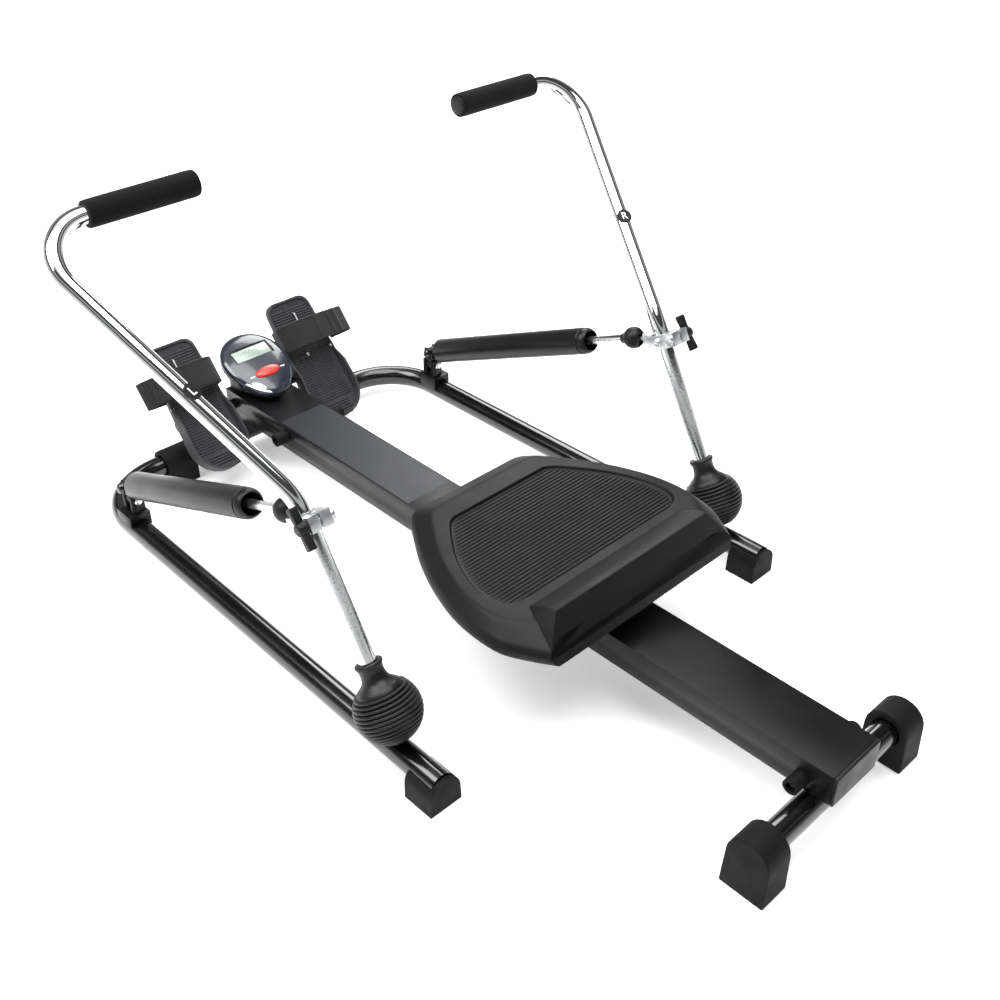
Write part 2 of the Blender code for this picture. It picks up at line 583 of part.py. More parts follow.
def make_yoke():
    """Two upper ears hold the barrel's eye; one lower tongue turns on the saddle's pin."""
    upper = []
    for sign in (-1, 1):
        low, high = sorted((sign * 0.0062, sign * 0.0100))
        upper.append(box((low, -0.0080, -0.0125), (high, 0.0080, 0.0080), Matrix.Translation(BARREL_PIVOT)))
    web_top = BARREL_PIVOT.z - 0.0092
    web = box((YOKE_PIVOT.x - 0.0100, YOKE_PIVOT.y - 0.0080, web_top - 0.0035),
              (YOKE_PIVOT.x + 0.0100, YOKE_PIVOT.y + 0.0080, web_top))
    tongue = cylinder(YOKE_PIVOT - Y * 0.0060, YOKE_PIVOT + Y * 0.0060, 0.0080, 20)
    riser = box((YOKE_PIVOT.x - 0.0070, YOKE_PIVOT.y - 0.0060, YOKE_PIVOT.z),
                (YOKE_PIVOT.x + 0.0070, YOKE_PIVOT.y + 0.0060, web_top - 0.001))
    yoke = join(web, *upper, tongue, riser)
    across = cylinder(BARREL_PIVOT - X * 0.02, BARREL_PIVOT + X * 0.02, 0.0036, 16)
    along = cylinder(YOKE_PIVOT - Y * 0.02, YOKE_PIVOT + Y * 0.02, 0.0036, 16)
    both_sides("cylinder_yoke", cut(yoke, across, along), "black_plastic", YOKE_PIVOT)
    pin = join(cylinder(BARREL_PIVOT - X * 0.0135, BARREL_PIVOT + X * 0.0125, 0.0032, 16),
               cylinder(BARREL_PIVOT - X * 0.0135, BARREL_PIVOT - X * 0.0103, 0.0060, 20),
               sphere(BARREL_PIVOT + X * 0.0140, 0.0068, 14, 8))
    flush = box((0.0080, -0.02, -0.02), (0.0104, 0.02, 0.02), Matrix.Translation(BARREL_PIVOT))
    keep = cylinder(BARREL_PIVOT - X * 0.01, BARREL_PIVOT + X * 0.02, 0.0032, 16)
    pin = join(cut(pin, flush), keep)
    both_sides("yoke_pin", cut(pin, box((0.02, -0.02, -0.02), (0.04, 0.02, 0.02), Matrix.Translation(BARREL_PIVOT))),
               "zinc", YOKE_PIVOT)


def make_saddle_bracket():
    """The welded bracket on the base frame with two ears for the yoke's lower pin."""
    x, y, z = YOKE_PIVOT
    base = box((x - 0.0120, y - 0.0180, FRAME_Z + 0.004), (x + 0.0190, y + 0.0180, FRAME_Z + 0.0260))
    ears = []
    for sign in (-1, 1):
        low, high = sorted((sign * 0.0066, sign * 0.0120))
        ears.append(box((x - 0.0095, y + low, FRAME_Z + 0.0200), (x + 0.0095, y + high, z + 0.0080)))
    bracket = join(base, *ears)
    relief = cylinder((x, y - 0.0066, z), (x, y + 0.0066, z), 0.0098, 20)
    trough = box((x - 0.0120, y - 0.0066, z - 0.0098), (x + 0.0120, y + 0.0066, z + 0.02))
    lean = (FRAME_CORNER_X - FRAME_REAR_X) / (FRAME_FRONT_Y - FRAME_REAR_Y)
    centre_x = FRAME_REAR_X + lean * (y - FRAME_REAR_Y)
    seat = cylinder((centre_x - lean * 0.06, y - 0.06, FRAME_Z), (centre_x + lean * 0.06, y + 0.06, FRAME_Z),
                    FRAME_TUBE_R + 2 * GAP, 24)
    rivet = cylinder((x, y - 0.0150, z), (x, y + 0.0150, z), 0.0032, 16)
    both_sides("saddle_bracket", join(cut(bracket, relief, trough, seat), rivet), "satin_black")


# ---------------------------------------------------------------- foot plates
PLATE_UP = (TOE - HEEL).normalized()
PLATE_OUT = Vector((0, -PLATE_UP.z, PLATE_UP.y))
PLATE_LENGTH = (TOE - HEEL).length
AXLE = Vector((0, AXLE_Y, AXLE_Z))


def plate_frame(x):
    """At the heel: X across, Y up the plate, Z out of its face."""
    matrix = Matrix((X, PLATE_UP, PLATE_OUT)).transposed().to_4x4()
    return Matrix.Translation((x, HEEL.y, HEEL.z)) @ matrix


def plate_outline(inset=0.0):
    """Round heel, slightly waisted sides and a rounded toe, in the plate's own plane."""
    half, heel = PLATE_WIDTH / 2 - inset, 0.046 - inset
    points = []
    for k in range(13):
        angle = math.pi + math.pi * k / 12
        points.append((heel * math.cos(angle), 0.046 + heel * math.sin(angle)))
    corner = 0.016
    top = PLATE_LENGTH - inset
    for cx, start in ((half - corner, 0.0), (-(half - corner), math.pi / 2)):
        for k in range(5):
            angle = start + math.pi / 2 * k / 4
            points.append((cx + corner * math.cos(angle), top - corner + corner * math.sin(angle)))
    return points


def make_foot_plates():
    frame = plate_frame(PLATE_X)
    wall = 0.0035
    body = prism(plate_outline(), -PLATE_THICK, 0.016, frame)
    hollow = prism(plate_outline(wall), 0.0, 0.03, frame)
    slope = [(-0.003, 0.0205), (-0.003, 0.060), (0.105, 0.005), (PLATE_LENGTH + 0.02, 0.002),
             (PLATE_LENGTH + 0.02, 0.0205)]
    side_turn = Matrix(((0, 0, 1, 0), (1, 0, 0, 0), (0, 1, 0, 0), (0, 0, 0, 1)))
    trim = prism(slope[1:], -0.08, 0.08, frame @ side_turn)
    body = cut(body, hollow, trim)
    local_axle = frame.inverted() @ Vector((PLATE_X, AXLE_Y, AXLE_Z))
    for offset in (-0.022, 0.022):
        lug = box((offset - 0.004, local_axle.y - 0.012, local_axle.z), (offset + 0.004, local_axle.y + 0.012,
                  -PLATE_THICK + 0.001), frame)
        boss = cylinder((PLATE_X + offset - 0.004, AXLE_Y, AXLE_Z), (PLATE_X + offset + 0.004, AXLE_Y, AXLE_Z),
                        0.0120, 20)
        body = join(body, lug, boss)
    bore = cylinder((0.05, AXLE_Y, AXLE_Z), (0.17, AXLE_Y, AXLE_Z), AXLE_R + GAP, 20)
    both_sides("foot_plate", cut(body, bore), "grey_plastic", (PLATE_X, AXLE_Y, AXLE_Z))


def make_axle():
    """A round bar through the beam with a cap pressed on each end."""
    half, cap = 0.1345, 0.006
    radius = AXLE_R + 0.002
    profile = [(0, -half - cap), (AXLE_R, -half - cap), (radius, 0.002 - half - cap), (radius, -half),
               (AXLE_R, -half), (AXLE_R, half), (radius, half), (radius, half + cap - 0.002),
               (AXLE_R, half + cap), (0, half + cap)]
    place_node("foot_axle", lathe(profile, basis((0, AXLE_Y, AXLE_Z), X), 20), "satin_black")


def strap_side(thick):
    """The strap seen along the plate: across the foot, past the plate, and folded back."""
    middle = [(-0.0442, -0.0040), (-0.0444, 0.0090), (-0.0440, 0.0170), (-0.0350, 0.0270), (-0.0180, 0.0325),
              (0.0000, 0.0340), (0.0200, 0.0330), (0.0420, 0.0280), (0.0640, 0.0220), (0.0740, 0.0180),
              (0.0775, 0.0135), (0.0735, 0.0090), (0.0640, 0.0060), (0.0530, 0.0040), (0.0445, 0.0030)]
    left, right = [], []
    for i, point in enumerate(middle):
        before = Vector(middle[max(i - 1, 0)])
        after = Vector(middle[min(i + 1, len(middle) - 1)])
        normal = Vector((-(after - before).y, (after - before).x)).normalized() * thick / 2
        left.append(tuple(Vector(point) + normal))
        right.append(tuple(Vector(point) - normal))
    return left + list(reversed(right))


def make_straps():
    frame = plate_frame(PLATE_X)
    across = Matrix(((1, 0, 0, 0), (0, 0, -1, 0), (0, 1, 0, 0), (0, 0, 0, 1)))
    strap = prism(strap_side(0.0022), -0.165, -0.122, frame @ across)
    both_sides("foot_strap", strap, "webbing", (PLATE_X, AXLE_Y, AXLE_Z))


# ---------------------------------------------------------------- seat
def seat_outline():
    """Half-widths of the seat's edge from the back to the front, as one closed loop."""
    half = [(0.128, -0.084), (0.152, -0.074), (0.168, -0.045), (0.190, 0.000), (0.198, 0.055), (0.191, 0.105),
            (0.170, 0.150), (0.143, 0.188), (0.116, 0.221), (0.098, 0.235)]
    return half + [(-x, y) for x, y in reversed(half)]


def inset_ring(scale_x, scale_y, heights):
    """The seat outline drawn in towards its middle, at a height read from its y."""
    middle = 0.078
    points = []
    for x, y in seat_outline():
        new_y = middle + (y - middle) * scale_y
        points.append(Vector((x * scale_x, new_y, heights(new_y))))
    return points


def top_height(y):
    rear = max(0.0, min(1.0, (0.000 - y) / 0.040))
    return 0.1735 + 0.0180 * rear * rear * (3 - 2 * rear)


def make_seat():
    rings = [inset_ring(0.985, 0.985, lambda y: SEAT_BOTTOM), inset_ring(1.0, 1.0, lambda y: SEAT_BOTTOM + 0.004),
             inset_ring(0.995, 0.99, lambda y: SEAT_BOTTOM + 0.015),
             inset_ring(0.88, 0.86, lambda y: top_height(y))]

    def build(bm):
        add_loft(bm, rings)
    place_node("seat_pad", solid(build), "black_plastic", (0, SEAT_Y, SEAT_BOTTOM))


def make_carriage():
    """A folded steel channel over the beam, holding the roller axles."""
    rear, front = SEAT_Y - 0.090, SEAT_Y + 0.110
    outer, inner = BEAM_SIDE + 0.0060, BEAM_SIDE + 0.0030
    top = SEAT_BOTTOM - GAP
    channel = box((-outer, rear, 0.0800), (outer, front, top))
    channel = cut(channel, box((-inner, rear - 0.01, 0.07), (inner, front + 0.01, top - 0.003)))
    for offset in ROLLER_OFFSETS:
        y, z = SEAT_Y + offset, BEAM_TOP + GAP + ROLLER_R
        channel = cut(channel, cylinder((-0.06, y, z), (0.06, y, z), ROLLER_AXLE_R + GAP, 16))
    place_node("seat_carriage", channel, "zinc", (0, SEAT_Y, SEAT_BOTTOM))
    for name, offset in zip(("rear", "front"), ROLLER_OFFSETS):
        y, z = SEAT_Y + offset, BEAM_TOP + GAP + ROLLER_R
        axle = cylinder((-0.052, y, z), (0.052, y, z), ROLLER_AXLE_R, 16)
        place_node(name + "_roller_axle", axle, "zinc", (0, SEAT_Y, SEAT_BOTTOM))
        profile = [(ROLLER_AXLE_R + GAP, -0.036), (ROLLER_R, -0.036), (ROLLER_R, -0.022), (ROLLER_R - 0.003, -0.020),
                   (ROLLER_R - 0.003, 0.020), (ROLLER_R, 0.022), (ROLLER_R, 0.036), (ROLLER_AXLE_R + GAP, 0.036)]
        roller = lathe(profile, basis((0, y, z), X), 24)
        place_node(name + "_roller", roller, "grey_plastic", (0, y, z))


# ---------------------------------------------------------------- monitor
def monitor_frame():
    return Matrix.Translation(MONITOR) @ Matrix.Rotation(MONITOR_TILT, 4, "X")


def egg(scale, count=24):
    """An oval that is broader at its far end."""
    points = []
    for k in range(count):
        angle = 2 * math.pi * k / count
        width = MONITOR_HALF_WIDTH * (1 + 0.15 * math.sin(angle))
        points.append((scale * width * math.cos(angle), scale * MONITOR_HALF_LENGTH * math.sin(angle)))
    return points


def egg_loft(levels, frame):
    def build(bm):
        add_loft(bm, [[frame @ Vector((u, v, height)) for u, v in egg(scale)] for scale, height in levels])
    return solid(build)


def make_monitor():
    frame = monitor_frame()
    turned = frame
    base = egg_loft([(0.62, -0.0200), (0.90, -0.0155), (0.985, -0.0090), (0.985, -0.0052)], frame)
    tray = egg_loft([(0.58, -0.0178), (0.85, -0.0140), (0.93, -0.0090), (0.93, 0.01)], frame)
    place_node("monitor_base", cut(base, tray), "black_plastic")
    top = egg_loft([(0.985, -0.0050), (1.0, -0.0020), (0.97, 0.0035), (0.86, 0.0075), (0.60, 0.0100)], frame)
    room = egg_loft([(0.93, -0.02), (0.93, -0.0010), (0.88, 0.0020), (0.80, 0.0045), (0.55, 0.0070)], frame)
    window = box((-0.0335, 0.0070, 0.0055), (0.0335, 0.0330, 0.03), turned)
    sight = box((-0.0295, 0.0100, -0.01), (0.0295, 0.0300, 0.03), turned)
    key = prism([(0.0208 * math.cos(a), -0.023 + 0.0090 * math.sin(a))
                 for a in (2 * math.pi * k / 20 for k in range(20))], -0.01, 0.03, turned)
    place_node("monitor_top", cut(top, room, window, sight, key), "grey_plastic")
    lens = box((-0.0332, 0.0073, 0.0058), (0.0332, 0.0327, 0.0078), turned)
    place_node("monitor_lens", lens, "display")
    cap = [(0.0203 * math.cos(a), -0.023 + 0.0085 * math.sin(a))
           for a in (2 * math.pi * k / 24 for k in range(24))]
    place_node("monitor_button", prism(cap, -0.0030, 0.0120, turned), "red_plastic", frame @ Vector((0, -0.023, 0.0)))
    board = box((-0.026, -0.036, -0.0125), (0.026, 0.036, -0.0109), turned)
    posts = box((-0.004, 0.010, -0.0175), (0.004, 0.020, -0.0115), turned)
    place_node("circuit_board", join(board, posts), "circuit")


def make_pedestal():
    """A skirt moulded to the beam that carries the monitor's underside."""
    frame = monitor_frame()
    levels = [(0.66, -0.0850), (0.68, -0.0203)]
    skirt = egg_loft(levels, frame)
    floor = box((-0.1, MONITOR.y - 0.2, 0.0), (0.1, MONITOR.y + 0.2, BEAM_TOP + GAP))
    beyond = box((-0.1, BEAM_FRONT - 0.002, 0.0), (0.1, BEAM_FRONT + 0.2, 0.3))
    clip = cut(skirt, floor, beyond)
    place_node("monitor_pedestal", clip, "black_plastic")


# ---------------------------------------------------------------- build
clear_scene()
machine = bpy.data.objects.new("machine", None)
machine.location = (0, -CENTRE_Y, 0)
bpy.context.scene.collection.objects.link(machine)

make_beam()
make_beam_cap()
make_base_frame()
make_frame_saddle()
make_rear_tube()
make_feet()
make_stops()
make_pivot_post()
make_cross()
make_arm()
make_boot()
make_grip()
make_clamp()
make_rod_end()
make_barrel()
make_yoke()
make_saddle_bracket()
make_foot_plates()
make_axle()
make_straps()
make_seat()
make_carriage()
make_monitor()
make_pedestal()
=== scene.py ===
"""Finished look of a hydraulic rowing machine, laid out as an add-on and run as a script."""

import json
import math

import bmesh
import bpy
from bpy.props import FloatProperty, FloatVectorProperty, IntProperty, PointerProperty
from mathutils import Matrix, Vector

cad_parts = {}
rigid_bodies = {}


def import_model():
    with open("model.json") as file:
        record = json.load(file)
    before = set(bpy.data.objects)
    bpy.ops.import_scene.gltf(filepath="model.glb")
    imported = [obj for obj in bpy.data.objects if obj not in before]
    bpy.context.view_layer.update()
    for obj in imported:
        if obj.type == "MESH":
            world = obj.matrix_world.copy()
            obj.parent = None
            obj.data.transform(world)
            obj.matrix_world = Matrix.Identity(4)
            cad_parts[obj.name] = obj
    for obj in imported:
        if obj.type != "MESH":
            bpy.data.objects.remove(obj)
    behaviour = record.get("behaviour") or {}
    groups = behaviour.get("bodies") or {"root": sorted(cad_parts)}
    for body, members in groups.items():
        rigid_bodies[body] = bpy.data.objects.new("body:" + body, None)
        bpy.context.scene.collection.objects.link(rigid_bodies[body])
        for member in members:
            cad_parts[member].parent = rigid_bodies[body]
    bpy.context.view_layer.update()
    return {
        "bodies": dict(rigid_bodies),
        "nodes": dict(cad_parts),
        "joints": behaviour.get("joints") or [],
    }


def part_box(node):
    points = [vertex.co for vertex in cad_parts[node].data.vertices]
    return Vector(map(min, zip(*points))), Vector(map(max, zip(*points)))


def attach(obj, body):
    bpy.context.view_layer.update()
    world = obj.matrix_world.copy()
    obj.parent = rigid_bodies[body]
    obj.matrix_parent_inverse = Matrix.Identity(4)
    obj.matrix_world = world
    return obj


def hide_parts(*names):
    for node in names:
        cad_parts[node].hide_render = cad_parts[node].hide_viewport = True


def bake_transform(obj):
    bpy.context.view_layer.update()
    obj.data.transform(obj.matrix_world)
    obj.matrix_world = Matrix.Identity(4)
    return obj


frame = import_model()

bl_info = {
    "name": "Rowing machine finish",
    "version": (1, 0, 0),
    "blender": (4, 5, 0),
    "location": "3D View > Sidebar > Rower",
    "description": "Builds the finished surfaces of a rowing machine around its packed frame",
    "category": "Object",
}

X, Y, Z = Vector((1, 0, 0)), Vector((0, 1, 0)), Vector((0, 0, 1))


def joint_place(name):
    """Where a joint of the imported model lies."""
    return Vector(next(j for j in frame["joints"] if j["name"] == name)["pos_m"])


PIVOT = joint_place("arm_swing_right")
ROD_BALL = joint_place("rod_pitch_right")
BARREL_PIVOT = joint_place("barrel_pitch_right")
YOKE_PIVOT = joint_place("yoke_roll_right")
KNOB = joint_place("knob_turn_right")
AXLE = joint_place("plate_tilt_right")
DATUM_Y = PIVOT.y - 0.0603        # the machine's own y = 0 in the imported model


def at(x, y, z):
    return Vector((x, y + DATUM_Y, z))


# the arm's three corners and the direction of its lower run
ARM_BEND = at(0.2926, 0.1839, 0.3046)
ARM_TOP = at(0.4093, 0.4650, 0.5465)
ARM_END = at(0.1990, 0.4650, 0.5465)
LOWER = (ARM_BEND - PIVOT).normalized()
ROD_LINE = (BARREL_PIVOT - ROD_BALL).normalized()
ARM_R = 0.0105
FRAME_TUBE_R = 0.016
CLOSED_END_R = 0.00002            # stands for radius zero, so that a ring keeps its points
CLAMP = PIVOT + LOWER * 0.228
# the foot plates' heel and toe
HEEL, TOE = at(AXLE.x, 0.6498, 0.0325), at(AXLE.x, 0.7820, 0.1896)
PLATE_UP = (TOE - HEEL).normalized()
PLATE_OUT = Vector((0, -PLATE_UP.z, PLATE_UP.y))
PLATE_LENGTH = (TOE - HEEL).length
MONITOR = at(0, 0.7083, 0.1447)
MONITOR_TILT = math.radians(25)
MONITOR_HALF_WIDTH, MONITOR_HALF_LENGTH, MONITOR_SWELL = 0.0505, 0.062, 0.15
KEY_Y = -0.023                    # the key's centre on the monitor's face
SIDES = (("right", 1), ("left", -1))


# ------------------------------------------------------------------ colours and materials
def linear(code):
    """A hex colour as linear red, green, blue and full alpha."""
    parts = [int(code[i:i + 2], 16) / 255 for i in (0, 2, 4)]
    return (*[c / 12.92 if c <= 0.04045 else ((c + 0.055) / 1.055) ** 2.4 for c in parts], 1.0)


def add_node(tree, kind, settings=None, values=None, links=None):
    """Add one node with its settings, input values and incoming links."""
    made = tree.nodes.new(kind)
    for key, value in (settings or {}).items():
        setattr(made, key, value)
    for key, value in (values or {}).items():
        made.inputs[key].default_value = value
    for key, socket in (links or {}).items():
        tree.links.new(socket, made.inputs[key])
    return made


def new_material(name, **values):
    """An empty material with its main shader's constants set."""
    made = bpy.data.materials.new(name)
    made.use_nodes = True
    shader = made.node_tree.nodes["Principled BSDF"]
    for key, value in values.items():
        shader.inputs[key.replace("_", " ")].default_value = value
    return made, made.node_tree, shader


def per_metre(size_mm):
    """The texture scale at which one pattern cell is a number of millimetres."""
    return 1000.0 / size_mm


def grained(name, dark, light, rough, grain_mm, height_mm, patch_mm=60.0, pattern="noise", **values):
    """A surface with a fine grain, two close tones in soft patches and uneven gloss."""
    made, tree, shader = new_material(name, **values)
    place = add_node(tree, "ShaderNodeTexCoord")
    patch = add_node(tree, "ShaderNodeTexNoise", values={"Scale": per_metre(patch_mm), "Detail": 4.0},
                     links={"Vector": place.outputs["Object"]})
    tone = add_node(tree, "ShaderNodeMix", {"data_type": "RGBA"},
                    {"A": linear(dark), "B": linear(light)}, {"Factor": patch.outputs["Fac"]})
    gloss = add_node(tree, "ShaderNodeMapRange",
                     values={"From Min": 0.3, "From Max": 0.7, "To Min": rough[0], "To Max": rough[1]},
                     links={"Value": patch.outputs["Fac"]})
    if pattern == "cells":
        grain = add_node(tree, "ShaderNodeTexVoronoi", values={"Scale": per_metre(grain_mm)},
                         links={"Vector": place.outputs["Object"]}).outputs["Distance"]
    else:
        grain = add_node(tree, "ShaderNodeTexNoise",
                         values={"Scale": per_metre(grain_mm), "Detail": 2.0},
                         links={"Vector": place.outputs["Object"]}).outputs["Fac"]
    bump = add_node(tree, "ShaderNodeBump", values={"Strength": 1.0, "Distance": height_mm / 1000},
                    links={"Height": grain})
    tree.links.new(tone.outputs[2], shader.inputs["Base Color"])
    tree.links.new(gloss.outputs["Result"], shader.inputs["Roughness"])
    tree.links.new(bump.outputs["Normal"], shader.inputs["Normal"])
    return made


def chrome_plate():
    """Polished chrome on steel tube: mirror bright above, and a dull, specked plate near the foot."""
    made, tree, shader = new_material("chrome_plate", Metallic=1.0)
    place = add_node(tree, "ShaderNodeTexCoord")
    height = add_node(tree, "ShaderNodeSeparateXYZ", links={"Vector": place.outputs["Object"]})
    low = add_node(tree, "ShaderNodeMapRange",
                   values={"From Min": CLAMP.z, "From Max": CLAMP.z - 0.06, "To Min": 0.0, "To Max": 1.0},
                   links={"Value": height.outputs["Z"]})
    foot = add_node(tree, "ShaderNodeMapRange",
                    values={"From Min": PIVOT.z + 0.05, "From Max": PIVOT.z + 0.11},
                    links={"Value": height.outputs["Z"]})
    band = add_node(tree, "ShaderNodeMath", {"operation": "MULTIPLY"},
                    links={0: low.outputs["Result"], 1: foot.outputs["Result"]})
    specks = add_node(tree, "ShaderNodeTexNoise", values={"Scale": per_metre(2.2), "Detail": 5.0},
                      links={"Vector": place.outputs["Object"]})
    gloss = add_node(tree, "ShaderNodeMapRange",
                     values={"From Min": 0.35, "From Max": 0.65, "To Min": 0.26, "To Max": 0.50},
                     links={"Value": specks.outputs["Fac"]})
    rough = add_node(tree, "ShaderNodeMix", {"data_type": "FLOAT"}, {"A": 0.06},
                     {"Factor": band.outputs["Value"], "B": gloss.outputs["Result"]})
    tone = add_node(tree, "ShaderNodeMix", {"data_type": "RGBA"},
                    {"A": linear("edeff0"), "B": linear("dfe1e2")}, {"Factor": band.outputs["Value"]})
    relief = add_node(tree, "ShaderNodeMath", {"operation": "MULTIPLY"},
                      links={0: specks.outputs["Fac"], 1: band.outputs["Value"]})
    bump = add_node(tree, "ShaderNodeBump", values={"Strength": 0.5, "Distance": 0.0002},
                    links={"Height": relief.outputs["Value"]})
    tree.links.new(tone.outputs[2], shader.inputs["Base Color"])
    tree.links.new(rough.outputs[0], shader.inputs["Roughness"])
    tree.links.new(bump.outputs["Normal"], shader.inputs["Normal"])
    return made


def nylon_webbing():
    """Woven nylon: ribs across the strap and threads along it, drawn coarser than real ones to show."""
    made, tree, shader = new_material("nylon_webbing", Roughness=0.88, Sheen_Weight=0.12)
    uv = add_node(tree, "ShaderNodeUVMap", {"uv_map": "UVMap"})
    heights = []
    bands_per_scale = 0.314       # a wave texture at scale 1 repeats every 0.314 units
    for direction, spacing_mm in (("X", 1.6), ("Y", 2.4)):
        wave = add_node(tree, "ShaderNodeTexWave", {"wave_type": "BANDS", "bands_direction": direction},
                        {"Scale": bands_per_scale * per_metre(spacing_mm), "Distortion": 0.4, "Detail": 1.0},
                        {"Vector": uv.outputs["UV"]})
        heights.append(wave.outputs["Fac"])
    weave = add_node(tree, "ShaderNodeMath", {"operation": "MULTIPLY"}, links={0: heights[0], 1: heights[1]})
    tone = add_node(tree, "ShaderNodeMix", {"data_type": "RGBA"},
                    {"A": linear("08080a"), "B": linear("1d1d20")}, {"Factor": weave.outputs["Value"]})
    bump = add_node(tree, "ShaderNodeBump", values={"Strength": 0.8, "Distance": 0.0004},
                    links={"Height": weave.outputs["Value"]})
    tree.links.new(tone.outputs[2], shader.inputs["Base Color"])
    tree.links.new(bump.outputs["Normal"], shader.inputs["Normal"])
    return made


def make_materials():
    """Each finish by the name of the real material."""
    coats = {}

    def add(name, *tones, **values):
        coats[name] = grained(name, *tones, **values)

    # gloss powder coat on bent tube: deep black with a faint orange peel
    add("gloss_powder_coat", "060607", "0b0b0c", (0.14, 0.22), 1.6, 0.012,
        Coat_Weight=0.4, Coat_Roughness=0.08)
    # satin powder coat on folded steel: softer black with a finer texture
    add("satin_powder_coat", "0b0b0d", "131315", (0.30, 0.40), 0.9, 0.02, Specular_IOR_Level=0.22)
    # baked enamel on the cylinders: satin with smooth highlights
    add("satin_enamel", "0b0b0c", "131315", (0.30, 0.38), 1.2, 0.008,
        Coat_Weight=0.04, Coat_Roughness=0.25, Specular_IOR_Level=0.22)
    # moulded rubber: dull, with a fine grain and dusty patches
    add("moulded_rubber", "08080a", "111113", (0.62, 0.78), 0.8, 0.05, 25.0, Specular_IOR_Level=0.16)
    # stretched boot rubber: a little shinier than the feet
    add("boot_rubber", "0a0a0b", "131314", (0.32, 0.46), 1.1, 0.02, 20.0, Specular_IOR_Level=0.3)
    # closed-cell foam: open pores cut at the skin, no gloss
    add("cell_foam", "070708", "141416", (0.90, 1.0), 1.3, 0.35, 12.0, "cells",
        Sheen_Weight=0.06, Specular_IOR_Level=0.1)
    # self-skinned seat: low sheen with a pebbled grain
    add("seat_skin", "08080a", "0f0f11", (0.44, 0.54), 1.4, 0.07, 45.0, "cells", Specular_IOR_Level=0.2)
    # moulded black nylon: a soft gloss with slight flow marks
    add("black_nylon", "0c0c0d", "161618", (0.36, 0.50), 0.9, 0.03, 22.0, Specular_IOR_Level=0.25)
    # glass-filled grey nylon of the foot plates: dull and faintly mottled
    add("grey_nylon", "2a2a2c", "3d3d40", (0.48, 0.64), 1.2, 0.05, 18.0, Specular_IOR_Level=0.25)
    # polished ABS of the monitor: blue-black with sharp highlights
    add("polished_abs", "20242e", "262b36", (0.16, 0.24), 3.0, 0.006, Coat_Weight=0.5, Coat_Roughness=0.06)
    # liquid crystal glass: grey-green with a soft gloss
    add("crystal_display", "8f9c94", "a9b5ac", (0.10, 0.16), 4.0, 0.004, 20.0)
    # red ABS of the key: saturated, with a soft gloss
    add("red_abs", "e02c20", "ea3a2c", (0.28, 0.36), 2.0, 0.01, 8.0, Coat_Weight=0.3)
    # bright zinc on pressed steel: pale metal with a cloudy gloss
    add("bright_zinc", "c4c6c8", "e6e7e8", (0.26, 0.40), 1.8, 0.004, 8.0, Metallic=1.0)
    # painted highlight: a bright silver finish that stands in for the light mirrored on the monitor's rounded
    # rim
    add("painted_rim_highlight", "b9bcc0", "d6d8da", (0.18, 0.26), 1.5, 0.01, 10.0, Metallic=0.7)
    # vinyl film on the beam: an even satin grey
    add("vinyl_film", "17181c", "1e2025", (0.30, 0.38), 2.0, 0.008, 70.0, Specular_IOR_Level=0.2)
    # white pad printing: flat and thin
    add("white_print", "d8dadc", "e6e7e8", (0.40, 0.50), 1.0, 0.004, 10.0)
    # glass-fibre laminate of the circuit board: green with a soft gloss
    add("green_laminate", "0f3d22", "17532f", (0.35, 0.45), 0.8, 0.02, 9.0)
    coats["chrome_plate"] = chrome_plate()
    coats["nylon_webbing"] = nylon_webbing()
    finishes = bpy.context.scene.rower_finishes
    for name, colour in (("vinyl_film", finishes.film_colour), ("red_abs", finishes.key_colour)):
        for node in coats[name].node_tree.nodes:
            if node.bl_idname == "ShaderNodeMix":
                node.inputs["B"].default_value = (*colour, 1.0)
    return coats


COATS = {}


def coat(name):
    """A finish by name. All are made on first use."""
    if not COATS:
        COATS.update(make_materials())
    return COATS[name]


# ------------------------------------------------------------------ mesh helpers
def matrix_of(origin, x_axis, y_axis, z_axis):
    return Matrix.Translation(origin) @ Matrix((x_axis, y_axis, z_axis)).transposed().to_4x4()


def basis(origin, along):
    """A frame at origin whose Z axis runs along a direction."""
    turn = Vector(along).normalized().to_track_quat("Z", "Y")
    return Matrix.Translation(origin) @ turn.to_matrix().to_4x4()


def level_basis(origin, along):
    """A frame whose Z axis runs along a direction and whose X axis stays level."""
    z_axis = Vector(along).normalized()
    x_axis = (X - z_axis * X.dot(z_axis)).normalized()
    return matrix_of(origin, x_axis, z_axis.cross(x_axis), z_axis)


def build(fill, *args, **kwargs):
    """Make a mesh with a function that fills a bmesh, and point its faces outwards."""
    bm = bmesh.new()
    fill(bm, *args, **kwargs)
    bmesh.ops.remove_doubles(bm, verts=bm.verts, dist=1e-6)
    bmesh.ops.recalc_face_normals(bm, faces=bm.faces)
    mesh = bpy.data.meshes.new("piece")
    bm.to_mesh(mesh)
    bm.free()
    return mesh


def fill_rings(bm, rings, cap=True, close=False):
    """Join equal-length rings of points, with end caps or closed on itself."""
    rows = [[bm.verts.new(p) for p in ring] for ring in rings]
    pairs = list(zip(rows, rows[1:]))
    if close:
        pairs.append((rows[-1], rows[0]))
    for low, high in pairs:
        for k in range(len(low)):
            m = (k + 1) % len(low)
            bm.faces.new((low[k], low[m], high[m], high[k]))
    if cap and not close:
        bm.faces.new(reversed(rows[0]))
        bm.faces.new(rows[-1])


def turned(profile, place, sides=64, close=False):
    """Turn (radius, height) points about a frame's Z axis. A radius of zero closes an end."""
    angles = [2 * math.pi * k / sides for k in range(sides)]
    rings = []
    for radius, height in profile:
        radius = max(radius, CLOSED_END_R)
        rings.append([place @ Vector((radius * math.cos(a), radius * math.sin(a), height)) for a in angles])
    return build(fill_rings, rings, True, close)


